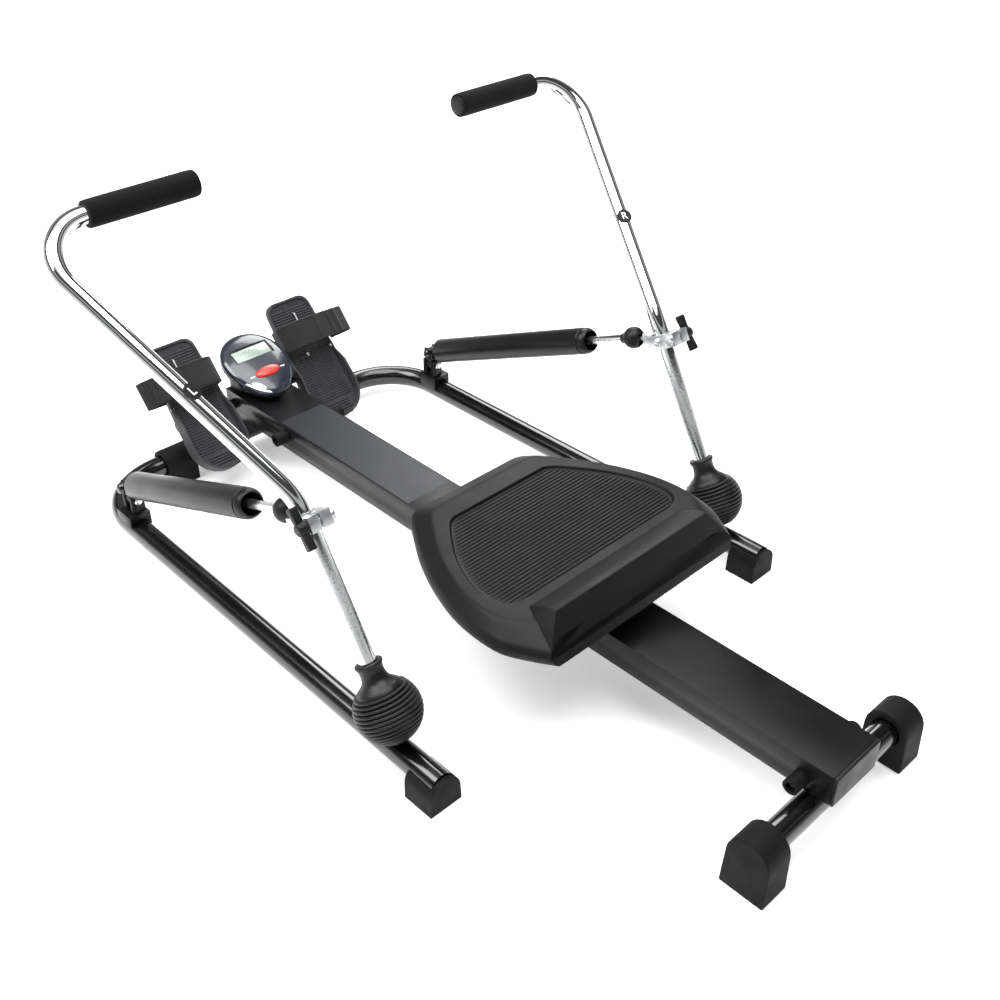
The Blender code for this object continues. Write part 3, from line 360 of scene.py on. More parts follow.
def rounded(profile, radius, steps=4):
    """Round the corners of an open (radius, height) profile."""
    points = [Vector(profile[0])]
    for before, corner, after in zip(profile, profile[1:], profile[2:]):
        before, corner, after = Vector(before), Vector(corner), Vector(after)
        reach = min(radius, (before - corner).length * 0.45, (after - corner).length * 0.45)
        start = corner + (before - corner).normalized() * reach
        end = corner + (after - corner).normalized() * reach
        for k in range(steps + 1):
            t = k / steps
            points.append(start * (1 - t) ** 2 + corner * 2 * t * (1 - t) + end * t ** 2)
    points.append(Vector(profile[-1]))
    return [tuple(p) for p in points]


def swept(points, radius, sides=40):
    """A round bar swept along points, with flat ends."""
    normal = (points[1] - points[0]).orthogonal().normalized()
    rings = []
    for i, point in enumerate(points):
        along = (points[min(i + 1, len(points) - 1)] - points[max(i - 1, 0)]).normalized()
        normal = (normal - along * normal.dot(along)).normalized()
        side = along.cross(normal)
        rings.append([point + radius * (normal * math.cos(a) + side * math.sin(a))
                      for a in (2 * math.pi * k / sides for k in range(sides))])
    return build(fill_rings, rings)


def rounded_path(corners, radii, step=0.003):
    """Straight runs joined by arcs."""
    points = [corners[0]]
    for i, radius in enumerate(radii, start=1):
        before = (corners[i - 1] - corners[i]).normalized()
        after = (corners[i + 1] - corners[i]).normalized()
        half = before.angle(after) / 2
        reach = radius / math.tan(half)
        centre = corners[i] + (before + after).normalized() * radius / math.sin(half)
        first = corners[i] + before * reach - centre
        last = corners[i] + after * reach - centre
        turn, axis = first.angle(last), first.cross(last).normalized()
        count = round(turn * radius / step)
        points += [centre + Matrix.Rotation(turn * k / count, 3, axis) @ first for k in range(count + 1)]
    points.append(corners[-1])
    return points


def smooth_curve(points, steps=8):
    """A Catmull-Rom curve through two-dimensional points."""
    points = [Vector(p) for p in points]
    ends = [points[0] * 2 - points[1], *points, points[-1] * 2 - points[-2]]
    curve = []
    for a, b, c, d in zip(ends, ends[1:], ends[2:], ends[3:]):
        for k in range(steps):
            t = k / steps
            curve.append(0.5 * (2 * b + (c - a) * t + (2 * a - 5 * b + 4 * c - d) * t * t
                                + (3 * b - a - 3 * c + d) * t ** 3))
    curve.append(points[-1])
    return curve


def prism(outline, low, high, place):
    return build(fill_rings, [[place @ Vector((u, v, level)) for u, v in outline] for level in (low, high)])


def block(low, high, place=None):
    (a, b, c), (d, e, f) = low, high
    return prism([(a, b), (d, b), (d, e), (a, e)], c, f, place or Matrix())


def sphere(centre, radius, sides=48):
    steps = 24
    profile = [(radius * math.sin(math.pi * k / steps), -radius * math.cos(math.pi * k / steps))
               for k in range(steps + 1)]
    return turned(profile, Matrix.Translation(centre), sides)


def joined(*meshes):
    """Several meshes as one, side by side. UV maps are kept."""
    bm = bmesh.new()
    for mesh in meshes:
        bm.from_mesh(mesh)
    result = bpy.data.meshes.new("piece")
    bm.to_mesh(result)
    bm.free()
    return result


def with_modifier(mesh, kind, **settings):
    """A mesh after one modifier."""
    obj = bpy.data.objects.new("work", mesh)
    bpy.context.scene.collection.objects.link(obj)
    modifier = obj.modifiers.new("work", kind)
    for key, value in settings.items():
        setattr(modifier, key, value)
    graph = bpy.context.evaluated_depsgraph_get()
    result = bpy.data.meshes.new_from_object(obj.evaluated_get(graph))
    bpy.data.objects.remove(obj, do_unlink=True)
    return result


def bevelled(mesh, width, segments=3, angle=35):
    return with_modifier(mesh, "BEVEL", width=width, segments=segments, limit_method="ANGLE",
                         angle_limit=math.radians(angle), use_clamp_overlap=True)


def subdivided(mesh, levels):
    return with_modifier(mesh, "SUBSURF", levels=levels, render_levels=levels)


def cut_from(mesh, tool):
    """A mesh with another cut out of it."""
    cutter = bpy.data.objects.new("cutter", tool)
    bpy.context.scene.collection.objects.link(cutter)
    result = with_modifier(mesh, "BOOLEAN", object=cutter, operation="DIFFERENCE", solver="EXACT")
    bpy.data.objects.remove(cutter, do_unlink=True)
    return result


def cad_copy(node):
    """A CAD node's mesh with its triangles merged back into flat faces."""
    bm = bmesh.new()
    bm.from_mesh(frame["nodes"][node].data)
    bmesh.ops.remove_doubles(bm, verts=bm.verts, dist=2e-6)
    bmesh.ops.dissolve_limit(bm, angle_limit=math.radians(1), verts=bm.verts, edges=bm.edges)
    result = bpy.data.meshes.new(node)
    bm.to_mesh(result)
    bm.free()
    return result


def mirrored(mesh):
    copy = mesh.copy()
    copy.transform(Matrix.Diagonal((-1, 1, 1, 1)))
    copy.flip_normals()
    return copy


def piece(name, mesh, finish, body, nodes=(), sharp=38):
    """Show a mesh as a named piece that rides on a body and stands for CAD nodes."""
    obj = bpy.data.objects.new(name, mesh)
    bpy.context.scene.collection.objects.link(obj)
    mesh.name = name
    mesh.materials.clear()
    mesh.materials.append(coat(finish))
    mesh.shade_smooth()
    mesh.set_sharp_from_angle(angle=math.radians(sharp))
    if body:
        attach(obj, body)
    if nodes:
        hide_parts(*nodes)
    return obj


def pair(name, mesh, finish, body, node=None):
    """A right-hand piece and its mirror image. Body and node names end in the side's name."""
    other = mirrored(mesh)
    for side, shape in (("right", mesh), ("left", other)):
        rides_on = body if body in frame["bodies"] else f"{body}_{side}"
        piece(f"{name}_{side}", shape, finish, rides_on, [f"{node}_{side}"] if node else ())


def show_plain(node, finish):
    """Give a CAD node that is shown as it is a finish."""
    mesh = frame["nodes"][node].data
    mesh.materials.clear()
    mesh.materials.append(coat(finish))


# ------------------------------------------------------------------ geometry node trees
def node_group(name, sockets):
    """An empty node tree with named inputs and one geometry output."""
    tree = bpy.data.node_groups.new(name, "GeometryNodeTree")
    tree.interface.new_socket("Geometry", in_out="INPUT", socket_type="NodeSocketGeometry")
    for label, kind in sockets:
        tree.interface.new_socket(label, in_out="INPUT", socket_type=kind)
    tree.interface.new_socket("Geometry", in_out="OUTPUT", socket_type="NodeSocketGeometry")
    return tree, add_node(tree, "NodeGroupInput")


def bake_group(tree, mesh, finish, values):
    """Run a tree on a mesh with its inputs set, and return the plain mesh."""
    obj = bpy.data.objects.new("work", mesh)
    bpy.context.scene.collection.objects.link(obj)
    modifier = obj.modifiers.new("work", "NODES")
    modifier.node_group = tree
    names = {s.name: s.identifier for s in tree.interface.items_tree if s.in_out == "INPUT"}
    modifier[names["Material"]] = coat(finish)
    for label, value in values.items():
        modifier[names[label]] = value
    graph = bpy.context.evaluated_depsgraph_get()
    result = bpy.data.meshes.new_from_object(obj.evaluated_get(graph))
    bpy.data.objects.remove(obj, do_unlink=True)
    return result


def end_group(tree, geometry, material):
    """Finish a tree with real geometry and its material."""
    real = add_node(tree, "GeometryNodeRealizeInstances", links={"Geometry": geometry})
    painted = add_node(tree, "GeometryNodeSetMaterial",
                       links={"Geometry": real.outputs["Geometry"], "Material": material})
    add_node(tree, "NodeGroupOutput", links={"Geometry": painted.outputs["Geometry"]})


def rib_row_tree():
    """A row of round bars along X, spaced along Y, for moulded ribs."""
    tree, given = node_group("rib_row", [("Count", "NodeSocketInt"), ("Pitch", "NodeSocketVector"),
                                         ("Length", "NodeSocketFloat"), ("Radius", "NodeSocketFloat"),
                                         ("Material", "NodeSocketMaterial")])
    line = add_node(tree, "GeometryNodeMeshLine", {"mode": "OFFSET"},
                    links={"Count": given.outputs["Count"], "Offset": given.outputs["Pitch"]})
    bar = add_node(tree, "GeometryNodeMeshCylinder", values={"Vertices": 10},
                   links={"Radius": given.outputs["Radius"], "Depth": given.outputs["Length"]})
    bars = add_node(tree, "GeometryNodeInstanceOnPoints", values={"Rotation": (0, math.pi / 2, 0)},
                    links={"Points": line.outputs["Mesh"], "Instance": bar.outputs["Mesh"]})
    end_group(tree, bars.outputs["Instances"], given.outputs["Material"])
    return tree


def stitch_tree():
    """Short threads laid end to end along the edges of the mesh that carries the tree."""
    tree, given = node_group("stitch_run", [("Spacing", "NodeSocketFloat"), ("Thread", "NodeSocketFloat"),
                                            ("Material", "NodeSocketMaterial")])
    path = add_node(tree, "GeometryNodeMeshToCurve", links={"Mesh": given.outputs["Geometry"]})
    spaced = add_node(tree, "GeometryNodeResampleCurve", {"mode": "LENGTH"},
                      links={"Curve": path.outputs["Curve"], "Length": given.outputs["Spacing"]})
    along = add_node(tree, "GeometryNodeInputTangent")
    turn = add_node(tree, "FunctionNodeAlignRotationToVector", {"axis": "Z"},
                    links={"Vector": along.outputs["Tangent"]})
    thread_share = 0.62           # the rest of the spacing is the gap
    length = add_node(tree, "ShaderNodeMath", {"operation": "MULTIPLY"}, {1: thread_share},
                      {0: given.outputs["Spacing"]})
    thread = add_node(tree, "GeometryNodeMeshCylinder", values={"Vertices": 6},
                      links={"Radius": given.outputs["Thread"], "Depth": length.outputs["Value"]})
    stitches = add_node(tree, "GeometryNodeInstanceOnPoints",
                        links={"Points": spaced.outputs["Curve"], "Instance": thread.outputs["Mesh"],
                               "Rotation": turn.outputs["Rotation"]})
    end_group(tree, stitches.outputs["Instances"], given.outputs["Material"])
    return tree


def dome_head_tree():
    """A domed rivet or screw head on every point of the mesh that carries the tree."""
    tree, given = node_group("dome_heads", [("Radius", "NodeSocketFloat"), ("Rise", "NodeSocketFloat"),
                                            ("Turn", "NodeSocketRotation"),
                                            ("Material", "NodeSocketMaterial")])
    ball = add_node(tree, "GeometryNodeMeshUVSphere", values={"Segments": 24, "Rings": 12},
                    links={"Radius": given.outputs["Radius"]})
    flat = add_node(tree, "ShaderNodeCombineXYZ", values={"X": 1.0, "Y": 1.0},
                    links={"Z": given.outputs["Rise"]})
    heads = add_node(tree, "GeometryNodeInstanceOnPoints",
                     links={"Points": given.outputs["Geometry"], "Instance": ball.outputs["Mesh"],
                            "Scale": flat.outputs["Vector"], "Rotation": given.outputs["Turn"]})
    end_group(tree, heads.outputs["Instances"], given.outputs["Material"])
    return tree


def points_mesh(points, edges=()):
    """Loose points and edges, to carry a tree."""
    mesh = bpy.data.meshes.new("points")
    mesh.from_pydata([tuple(p) for p in points], list(edges), [])
    return mesh


def dome_heads(name, points, radius, rise, turn, finish, body):
    """A piece made of one domed head at each point."""
    mesh = bake_group(dome_head_tree(), points_mesh(points), finish,
                      {"Radius": radius, "Rise": rise, "Turn": turn})
    piece(name, mesh, finish, body)


# ------------------------------------------------------------------ base frame
def make_base():
    """Beam, base tubes, feet and stops."""
    sizes = bpy.context.scene.rower_sizes
    half = [at(0.2875, -0.026, 0.031), at(0.2785, 0.729, 0.031)]
    other = [Vector((-p.x, p.y, p.z)) for p in reversed(half)]
    bend_radius = 0.094
    path = rounded_path(half + other, (bend_radius, bend_radius))
    piece("frame_tube", swept(path, FRAME_TUBE_R, 48), "gloss_powder_coat", "frame", ["base_frame"])
    low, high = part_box("rear_cross_tube")
    middle = (Vector(low) + Vector(high)) / 2
    profile = [(0, low[0]), (FRAME_TUBE_R, low[0]), (FRAME_TUBE_R, high[0]), (0, high[0])]
    bar = turned(profile, basis(Vector((0, middle.y, middle.z)), X))
    piece("rear_tube", bar, "gloss_powder_coat", "frame", ["rear_cross_tube"])
    beam = bevelled(cad_copy("main_beam"), sizes.beam_edge, 3, 60)
    piece("beam_tube", beam, "satin_powder_coat", "frame", ["main_beam"])
    cap = bevelled(cad_copy("beam_rear_cap"), 0.0012, 3)
    piece("beam_end_cap", cap, "black_nylon", "frame", ["beam_rear_cap"])
    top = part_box("main_beam")[1][2]
    half_width, thick = 0.0375, 0.00015
    film = block((-half_width, at(0, 0.318, 0).y, top), (half_width, at(0, 0.604, 0).y, top + thick))
    piece("beam_film", film, "vinyl_film", "frame")
    saddle = bevelled(cad_copy("frame_saddle"), 0.0012)
    piece("beam_saddle", saddle, "satin_powder_coat", "frame", ["frame_saddle"])
    for foot in ("rear_foot", "side_foot", "front_foot"):
        shape = bevelled(cad_copy(f"{foot}_right"), sizes.rubber_edge, 4, 40)
        pair(f"{foot}_rubber", shape, "moulded_rubber", "frame", foot)
    for stop in ("rear_stop", "front_stop"):
        low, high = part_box(stop)
        centre = (Vector(low) + Vector(high)) / 2
        axis = basis(Vector((0, centre.y, centre.z)), X)
        bush = [(0.0058, 0.0603), (0.0066, 0.0603), (0.0095, 0.0600), (0.0095, 0.0403), (0.0045, 0.0403),
                (0.0045, 0.052), (0.0058, 0.052)]
        shape = turned(bush, axis, 48, True)
        bolt = turned(rounded([(0, 0.052), (0.0040, 0.052), (0.0040, 0.0565), (0, 0.0565)], 0.001), axis, 6)
        piece(f"{stop}_bushes", joined(shape, mirrored(shape)), "moulded_rubber", "frame", [stop])
        piece(f"{stop}_bolt", joined(bolt, mirrored(bolt)), "satin_powder_coat", "frame")


# ------------------------------------------------------------------ arms
def make_arms():
    """Chrome arms, grips, clamps and knobs."""
    corners = [PIVOT + LOWER * 0.024, ARM_BEND, ARM_TOP, ARM_END]
    lower_radius, upper_radius = 0.100, 0.055
    arm = swept(rounded_path(corners, (lower_radius, upper_radius)), ARM_R)
    pair("arm_chrome", arm, "chrome_plate", "arm", "arm_tube")
    place = basis(Vector((0, ARM_END.y, ARM_END.z)), X)
    start, end, outer = 0.1975, 0.3320, 0.0152
    foam = rounded([(ARM_R + 0.0002, start + 0.001), (outer - 0.0005, start), (outer, start + 0.006),
                    (outer, end - 0.006), (outer - 0.0005, end), (ARM_R + 0.0002, end - 0.0005)], 0.0035, 5)
    pair("grip_foam", turned(foam, place), "cell_foam", "arm", "foam_grip")
    plug = rounded([(0, start - 0.0018), (0.0080, start - 0.0016), (0.0118, start - 0.0004),
                    (0.0122, start + 0.0020), (0, start + 0.0025)], 0.0008, 3)
    pair("grip_plug", turned(plug, place), "black_nylon", "arm")
    badge_at = ARM_BEND.lerp(ARM_TOP, 0.395)
    upper = (ARM_TOP - ARM_BEND).normalized()
    facing = (Z - upper * Z.dot(upper)).normalized()
    badge_r, badge_face = 0.0100, ARM_R + 0.0004
    badge = turned([(0, ARM_R - 0.002), (badge_r, ARM_R - 0.002), (badge_r, badge_face), (0, badge_face)],
                   basis(badge_at, facing), 40)
    pair("side_badge", badge, "black_nylon", "arm")
    for side, sign in SIDES:
        centre = Vector((sign * badge_at.x, badge_at.y, badge_at.z))
        up = Vector((sign * upper.x, upper.y, upper.z))
        out = (Z - up * Z.dot(up)).normalized()
        place = matrix_of(centre + out * (ARM_R + 0.0005), up.cross(out), up, out)
        mark = letter_mesh(side[0].upper(), place)
        piece(f"side_letter_{side}", mark, "white_print", f"arm_{side}")
    clamp = bevelled(cad_copy("clamp_body_right"), 0.0010, 2, 50)
    pair("arm_clamp", clamp, "bright_zinc", "arm", "clamp_body")
    bolt = bevelled(cad_copy("clamp_bolt_right"), 0.0007, 2, 50)
    pair("clamp_screw", bolt, "bright_zinc", "arm", "clamp_bolt")
    quarter = [math.pi / 2 * k / 8 for k in range(9)]
    dome = turned([(0.0072 * math.cos(a), 0.0044 * math.sin(a)) for a in quarter],
                  basis(CLAMP - X * 0.0138 + Y * 0.001, -X), 40)
    pair("clamp_rivet", dome, "bright_zinc", "arm")
    make_knobs()


def letter_mesh(letter, place):
    """A flat raised letter."""
    curve = bpy.data.curves.new("letter", "FONT")
    curve.body = letter
    curve.size = 0.0145
    curve.align_x, curve.align_y = "CENTER", "CENTER"
    curve.extrude = 0.0001
    curve.offset = 0.0002
    obj = bpy.data.objects.new("letter", curve)
    bpy.context.scene.collection.objects.link(obj)
    graph = bpy.context.evaluated_depsgraph_get()
    mesh = bpy.data.meshes.new_from_object(obj.evaluated_get(graph))
    bpy.data.objects.remove(obj, do_unlink=True)
    mesh.transform(place)
    return mesh


def make_knobs():
    """Two-winged knobs: a hub with a tapered bar each way."""
    side = (X - LOWER * X.dot(LOWER)).normalized()
    rest_angle = 0.9
    turn = basis(KNOB, side) @ Matrix.Rotation(rest_angle, 4, "Z")
    hub = turned(rounded([(0, 0.0145), (0.0078, 0.0145), (0.0080, 0.0245), (0.0060, 0.0268), (0, 0.0270)],
                         0.0012), turn, 40)
    wing = [(0.0060, -0.0035), (0.0140, -0.0040), (0.0232, -0.0050), (0.0246, -0.0036), (0.0246, 0.0036),
            (0.0232, 0.0050), (0.0140, 0.0040), (0.0060, 0.0035)]
    low, high = 0.0158, 0.0252
    blade = bevelled(prism(wing, low, high, turn), 0.0012, 3)
    other = bevelled(prism([(-u, -v) for u, v in wing], low, high, turn), 0.0012, 3)
    pair("knob_wings", joined(hub, blade, other), "black_nylon", "knob", "wing_knob")


def make_boots():
    """Rubber bellows: stacked round ribs on a ball, a flared shoulder and a collared neck."""
    ribs = bpy.context.scene.rower_sizes.boot_ribs
    ball, groove, per_rib = 0.0395, 0.0030, 8
    first, last = math.radians(-64), math.radians(42)
    profile = []
    for k in range(ribs * per_rib + 1):
        angle = first + (last - first) * k / (ribs * per_rib)
        ridge = abs(math.sin(math.pi * k / per_rib)) ** 0.6
        radius = ball - groove * (1 - ridge)
        profile.append((radius * math.cos(angle), radius * math.sin(angle)))
    neck = [(0.0262, 0.0280), (0.0225, 0.0315), (0.0178, 0.0352), (0.0150, 0.0400), (0.0140, 0.0460),
            (0.0142, 0.0515), (0.0154, 0.0545), (0.0162, 0.0560), (0.0163, 0.0585), (0.0152, 0.0592),
            (0.0112, 0.0590), (0.0109, 0.0560), (0.0109, 0.0420), (0.0150, 0.0360)]
    hollow = ball - 0.006
    inside = [(hollow * math.cos(a), hollow * math.sin(a))
              for a in (last + (first - last) * k / 10 for k in range(11))]
    shape = turned(profile + neck + inside, basis(PIVOT, LOWER), 72, True)
    other = mirrored(shape)
    for (side, sign), mesh in zip(SIDES, (shape, other)):
        boot = piece(f"boot_bellows_{side}", mesh, "boot_rubber", None, [f"pivot_boot_{side}"], sharp=60)
        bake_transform(boot)


# ------------------------------------------------------------------ dampers
def make_dampers():
    """Cylinders, rods, ball ends, yokes and their brackets."""
    place = basis(BARREL_PIVOT, -ROD_LINE)
    back, mouth, radius = 0.020, 0.362, 0.0190
    outer = rounded([(0.006, back), (radius - 0.0045, back), (radius, back + 0.006), (radius, mouth - 0.0130),
                     (radius - 0.0016, mouth - 0.0122), (radius - 0.0016, mouth - 0.0108),
                     (radius - 0.0002, mouth - 0.0100), (radius - 0.0006, mouth - 0.0070),
                     (radius - 0.0018, mouth - 0.0038), (0.0158, mouth - 0.0012)], 0.0008, 3)
    # the bore stays open, because the rod leaves its middle when the arm moves
    inner = [(0.0142, mouth), (0.0136, mouth - 0.0004), (0.0133, mouth - 0.0014), (0.0133, mouth - 0.010),
             (0.0170, mouth - 0.011), (0.0170, back + 0.012), (0.006, back + 0.012)]
    shell = turned(outer + inner, place, 72)
    level = level_basis(BARREL_PIVOT, -ROD_LINE)
    eye = turned(rounded([(0.0036, -0.0055), (0.0080, -0.0055), (0.0080, 0.0055), (0.0036, 0.0055)], 0.0008),
                 basis(BARREL_PIVOT, X), 40, True)
    tongue = bevelled(block((-0.0055, -0.0068, 0.005), (0.0055, 0.0068, back + 0.004), level), 0.001)
    pair("barrel_shell", joined(shell, eye, tongue), "satin_enamel", "barrel", "cylinder_barrel")
    rod = turned([(0, 0.012), (0.0056, 0.012), (0.0056, 0.176), (0.0034, 0.182), (0.0034, 0.252), (0, 0.252)],
                 basis(ROD_BALL, ROD_LINE), 40)
    pair("rod_chrome", rod, "chrome_plate", "rod", "piston_rod")
    ball = cut_from(sphere(ROD_BALL, 0.0149), neck_slot(0.0042, 0.0100, 0.03))
    collar = turned(rounded([(0.0049, 0.0120), (0.0080, 0.0130), (0.0070, 0.0175), (0.0074, 0.0190),
                             (0.0049, 0.0192)], 0.0008), basis(ROD_BALL, ROD_LINE), 40)
    pair("ball_end", joined(ball, collar), "black_nylon", "rod", "rod_ball")
    liner = cut_from(sphere(ROD_BALL, 0.0063, 32), neck_slot(0.0038, 0.0076, 0.03))
    pair("ball_socket", liner, "grey_nylon", "liner", "ball_liner")
    yoke = bevelled(cad_copy("cylinder_yoke_right"), 0.0008, 3)
    pair("yoke_block", yoke, "black_nylon", "yoke", "cylinder_yoke")
    axis = basis(BARREL_PIVOT, X)
    shank = turned([(0, -0.013), (0.0032, -0.013), (0.0032, 0.012), (0, 0.012)], axis, 32)
    nut = turned(rounded([(0, 0.0104), (0.0082, 0.0104), (0.0084, 0.0140), (0.0060, 0.0185), (0, 0.0200)],
                         0.002), axis)
    head = turned(rounded([(0, -0.0160), (0.0045, -0.0150), (0.0064, -0.0125), (0.0064, -0.0103),
                           (0, -0.0103)], 0.001), axis)
    pair("pin_and_nut", joined(shank, nut, head), "gloss_powder_coat", "yoke", "yoke_pin")
    bracket = bevelled(cad_copy("saddle_bracket_right"), 0.0008, 2)
    pair("yoke_bracket", bracket, "satin_powder_coat", "frame", "saddle_bracket")
    for side, sign in SIDES:
        centre = Vector((sign * YOKE_PIVOT.x, YOKE_PIVOT.y, YOKE_PIVOT.z))
        dome_heads(f"bracket_rivet_{side}", [centre - Y * 0.0145, centre + Y * 0.0145], 0.0056, 0.4,
                   (math.pi / 2, 0, 0), "bright_zinc", "frame")
    for node, finish in (("universal_cross", "bright_zinc"), ("pivot_post", "satin_powder_coat")):
        for side, _ in SIDES:
            show_plain(f"{node}_{side}", finish)


def neck_slot(half, width, reach):
    """The wedge in a ball joint's shell through which the stud's neck swings."""
    away = (CLAMP - ROD_BALL).normalized()
    middle = math.atan2(away.z, away.y)
    low, high = middle - math.radians(8), middle + math.radians(42)
    flare = 0.20
    outline = [(half * math.sin(low), -half * math.cos(low))]
    for k in range(6):
        angle = low - flare + (high - low + 2 * flare) * k / 5
        outline.append((reach * math.cos(angle), reach * math.sin(angle)))
    outline.append((-half * math.sin(high), half * math.cos(high)))
    place = Matrix.Translation(ROD_BALL) @ Matrix(((0, 0, 1, 0), (1, 0, 0, 0), (0, 1, 0, 0), (0, 0, 0, 1)))
    return prism(outline, -width / 2, width / 2, place)


# ------------------------------------------------------------------ foot plates
def plate_place():
    """At the heel: X across, Y up the plate, Z out of its face."""
    return matrix_of(HEEL, X, PLATE_UP, PLATE_OUT)


def make_foot_plates():
    """Ribbed foot plates with their straps and pins, and the axle."""
    sizes = bpy.context.scene.rower_sizes
    place = plate_place()
    shell = bevelled(cad_copy("foot_plate_right"), 0.0011, 3, 50)
    pair("plate_shell", shell, "grey_nylon", "plate", "foot_plate")
    rows = []
    for start, end, length in ((0.0125, 0.032, 0.048), (0.034, 0.196, 0.068)):
        row = bake_group(rib_row_tree(), points_mesh([(0, 0, 0)]), "grey_nylon",
                         {"Count": int((end - start) / sizes.rib_pitch), "Pitch": (0.0, sizes.rib_pitch, 0.0),
                          "Length": length, "Radius": 0.0014})
        row.transform(place @ Matrix.Translation((0, start, -0.0002)))
        rows.append(row)
    for across in (-0.020, -0.007, 0.007, 0.020):
        rows.append(block((across - 0.0007, 0.034, -0.001), (across + 0.0007, 0.196, 0.0013), place))
    pair("plate_ribs", joined(*rows), "grey_nylon", "plate")
    bent = ((0.167, 0.0012), (0.1685, 0.004), (0.180, 0.004), (0.1815, 0.0012))
    pin = swept([place @ Vector((0.004, up, out)) for up, out in bent], 0.0016, 16)
    pair("slit_pin", pin, "bright_zinc", "plate")
    for side, sign in SIDES:
        spots = [place @ Vector((x, 0.1125, 0.002)) for x in (-0.006, 0.040)]
        spots = [Vector((sign * p.x, p.y, p.z)) for p in spots]
        dome_heads(f"plate_pins_{side}", spots, 0.0030, 0.8, (math.radians(50), 0, 0), "bright_zinc",
                   f"plate_{side}")
    axis = basis(Vector((0, AXLE.y, AXLE.z)), X)
    half, axle_r = 0.1345, 0.0075
    bar = turned([(0, -half), (axle_r, -half), (axle_r, half), (0, half)], axis)
    cap = turned(rounded([(0, 0.1340), (0.0095, 0.1340), (0.0095, 0.1385), (0.0075, 0.1403), (0, 0.1405)],
                         0.001), axis)
    piece("axle_bar", bar, "satin_powder_coat", "frame", ["foot_axle"])
    piece("axle_caps", joined(cap, mirrored(cap)), "black_nylon", "frame")
    make_straps(place)


def ribbon(path, width, thick, place, start):
    """A band swept along a path in the frame's XZ plane, with a UV map in metres."""
    bm = bmesh.new()
    layer = bm.loops.layers.uv.new("UVMap")
    edge = thick * 0.45
    rows, travelled = [], 0.0
    for i, point in enumerate(path):
        along = (path[min(i + 1, len(path) - 1)] - path[max(i - 1, 0)]).normalized()
        normal = Vector((-along.y, along.x))
        if i:
            travelled += (point - path[i - 1]).length
        section = [(0.0, -thick / 2 + edge), (edge, -thick / 2), (width - edge, -thick / 2),
                   (width, -thick / 2 + edge), (width, thick / 2 - edge), (width - edge, thick / 2),
                   (edge, thick / 2), (0.0, thick / 2 - edge)]
        row = []
        for across, off in section:
            spot = point + normal * off
            row.append((bm.verts.new(place @ Vector((spot.x, start + across, spot.y))), travelled, across))
        rows.append(row)
    faces = []
    for low, high in zip(rows, rows[1:]):
        for k in range(len(low)):
            m = (k + 1) % len(low)
            faces.append((low[k], low[m], high[m], high[k]))
    faces += [tuple(reversed(rows[0])), tuple(rows[-1])]
    for corners in faces:
        face = bm.faces.new([c[0] for c in corners])
        for loop, corner in zip(face.loops, corners):
            loop[layer].uv = (corner[1], corner[2])
    bmesh.ops.recalc_face_normals(bm, faces=bm.faces)
    mesh = bpy.data.meshes.new("ribbon")
    bm.to_mesh(mesh)
    bm.free()
    return mesh


# the band's course across the plate and out of its face, from under one edge round to the other
STRAP_PATH = ((-0.0442, -0.0040), (-0.0446, 0.0090), (-0.0440, 0.0170), (-0.0350, 0.0268), (-0.0180, 0.0322),
              (0.0000, 0.0336), (0.0200, 0.0327), (0.0420, 0.0283), (0.0640, 0.0226), (0.0745, 0.0186),
              (0.0775, 0.0140), (0.0745, 0.0098), (0.0650, 0.0066), (0.0530, 0.0042), (0.0447, 0.0030))


def make_straps(place):
    """Webbing over the foot, folded round at the outer side, with the free end laid back over it."""
    thick = bpy.context.scene.rower_sizes.strap_thickness
    band = smooth_curve(STRAP_PATH)
    start, width = 0.1225, 0.0410
    strap = ribbon(band, width, thick, place, start)
    lap = smooth_curve(((0.0130, 0.0347), (0.0300, 0.0332), (0.0460, 0.0296), (0.0600, 0.0262),
                        (0.0700, 0.0228)))
    second = smooth_curve(((0.0380, 0.0334), (0.0470, 0.0322), (0.0520, 0.0334), (0.0560, 0.0305),
                           (0.0650, 0.0275)))
    layers = [ribbon(lap, width - 0.001, thick * 0.8, place, start + 0.0005),
              ribbon(second, width - 0.003, thick * 0.8, place, start + 0.0015)]
    pair("strap_webbing", joined(strap, *layers), "nylon_webbing", "plate", "foot_strap")
    paths, edges = [], []
    inner = [p for p in band if p.x < 0.040 and p.y > 0.010]
    for across in (start + 0.003, start + width - 0.003):
        first = len(paths)
        for i, point in enumerate(inner):
            after, before = inner[min(i + 1, len(inner) - 1)], inner[max(i - 1, 0)]
            normal = Vector((-(after - before).y, (after - before).x)).normalized()
            spot = point + normal * (thick / 2 + 0.0001)
            paths.append(place @ Vector((spot.x, across, spot.y)))
        edges += [(k, k + 1) for k in range(first, len(paths) - 1)]
    stitches = bake_group(stitch_tree(), points_mesh(paths, edges), "black_nylon",
                          {"Spacing": 0.0036, "Thread": 0.0004})
    pair("strap_stitches", stitches, "black_nylon", "plate")


# ------------------------------------------------------------------ seat
# half outlines of the seat and of its hollow, from the middle of the front to the rear
SEAT_EDGE = ((0.0820, 0.2470), (0.0980, 0.2400), (0.1230, 0.2040), (0.1460, 0.1660), (0.1660, 0.1220),
             (0.1815, 0.0720), (0.1865, 0.0300), (0.1840, -0.0080), (0.1700, -0.0380), (0.1540, -0.0640),
             (0.1425, -0.0800))
RECESS_EDGE = ((0.0800, 0.1835), (0.0930, 0.1740), (0.1120, 0.1500), (0.1290, 0.1250), (0.1430, 0.0970),
               (0.1525, 0.0680), (0.1550, 0.0440), (0.1500, 0.0250), (0.1350, 0.0150), (0.1120, 0.0120))


EDGE_POINTS = 64                  # points along each side of the seat's edge


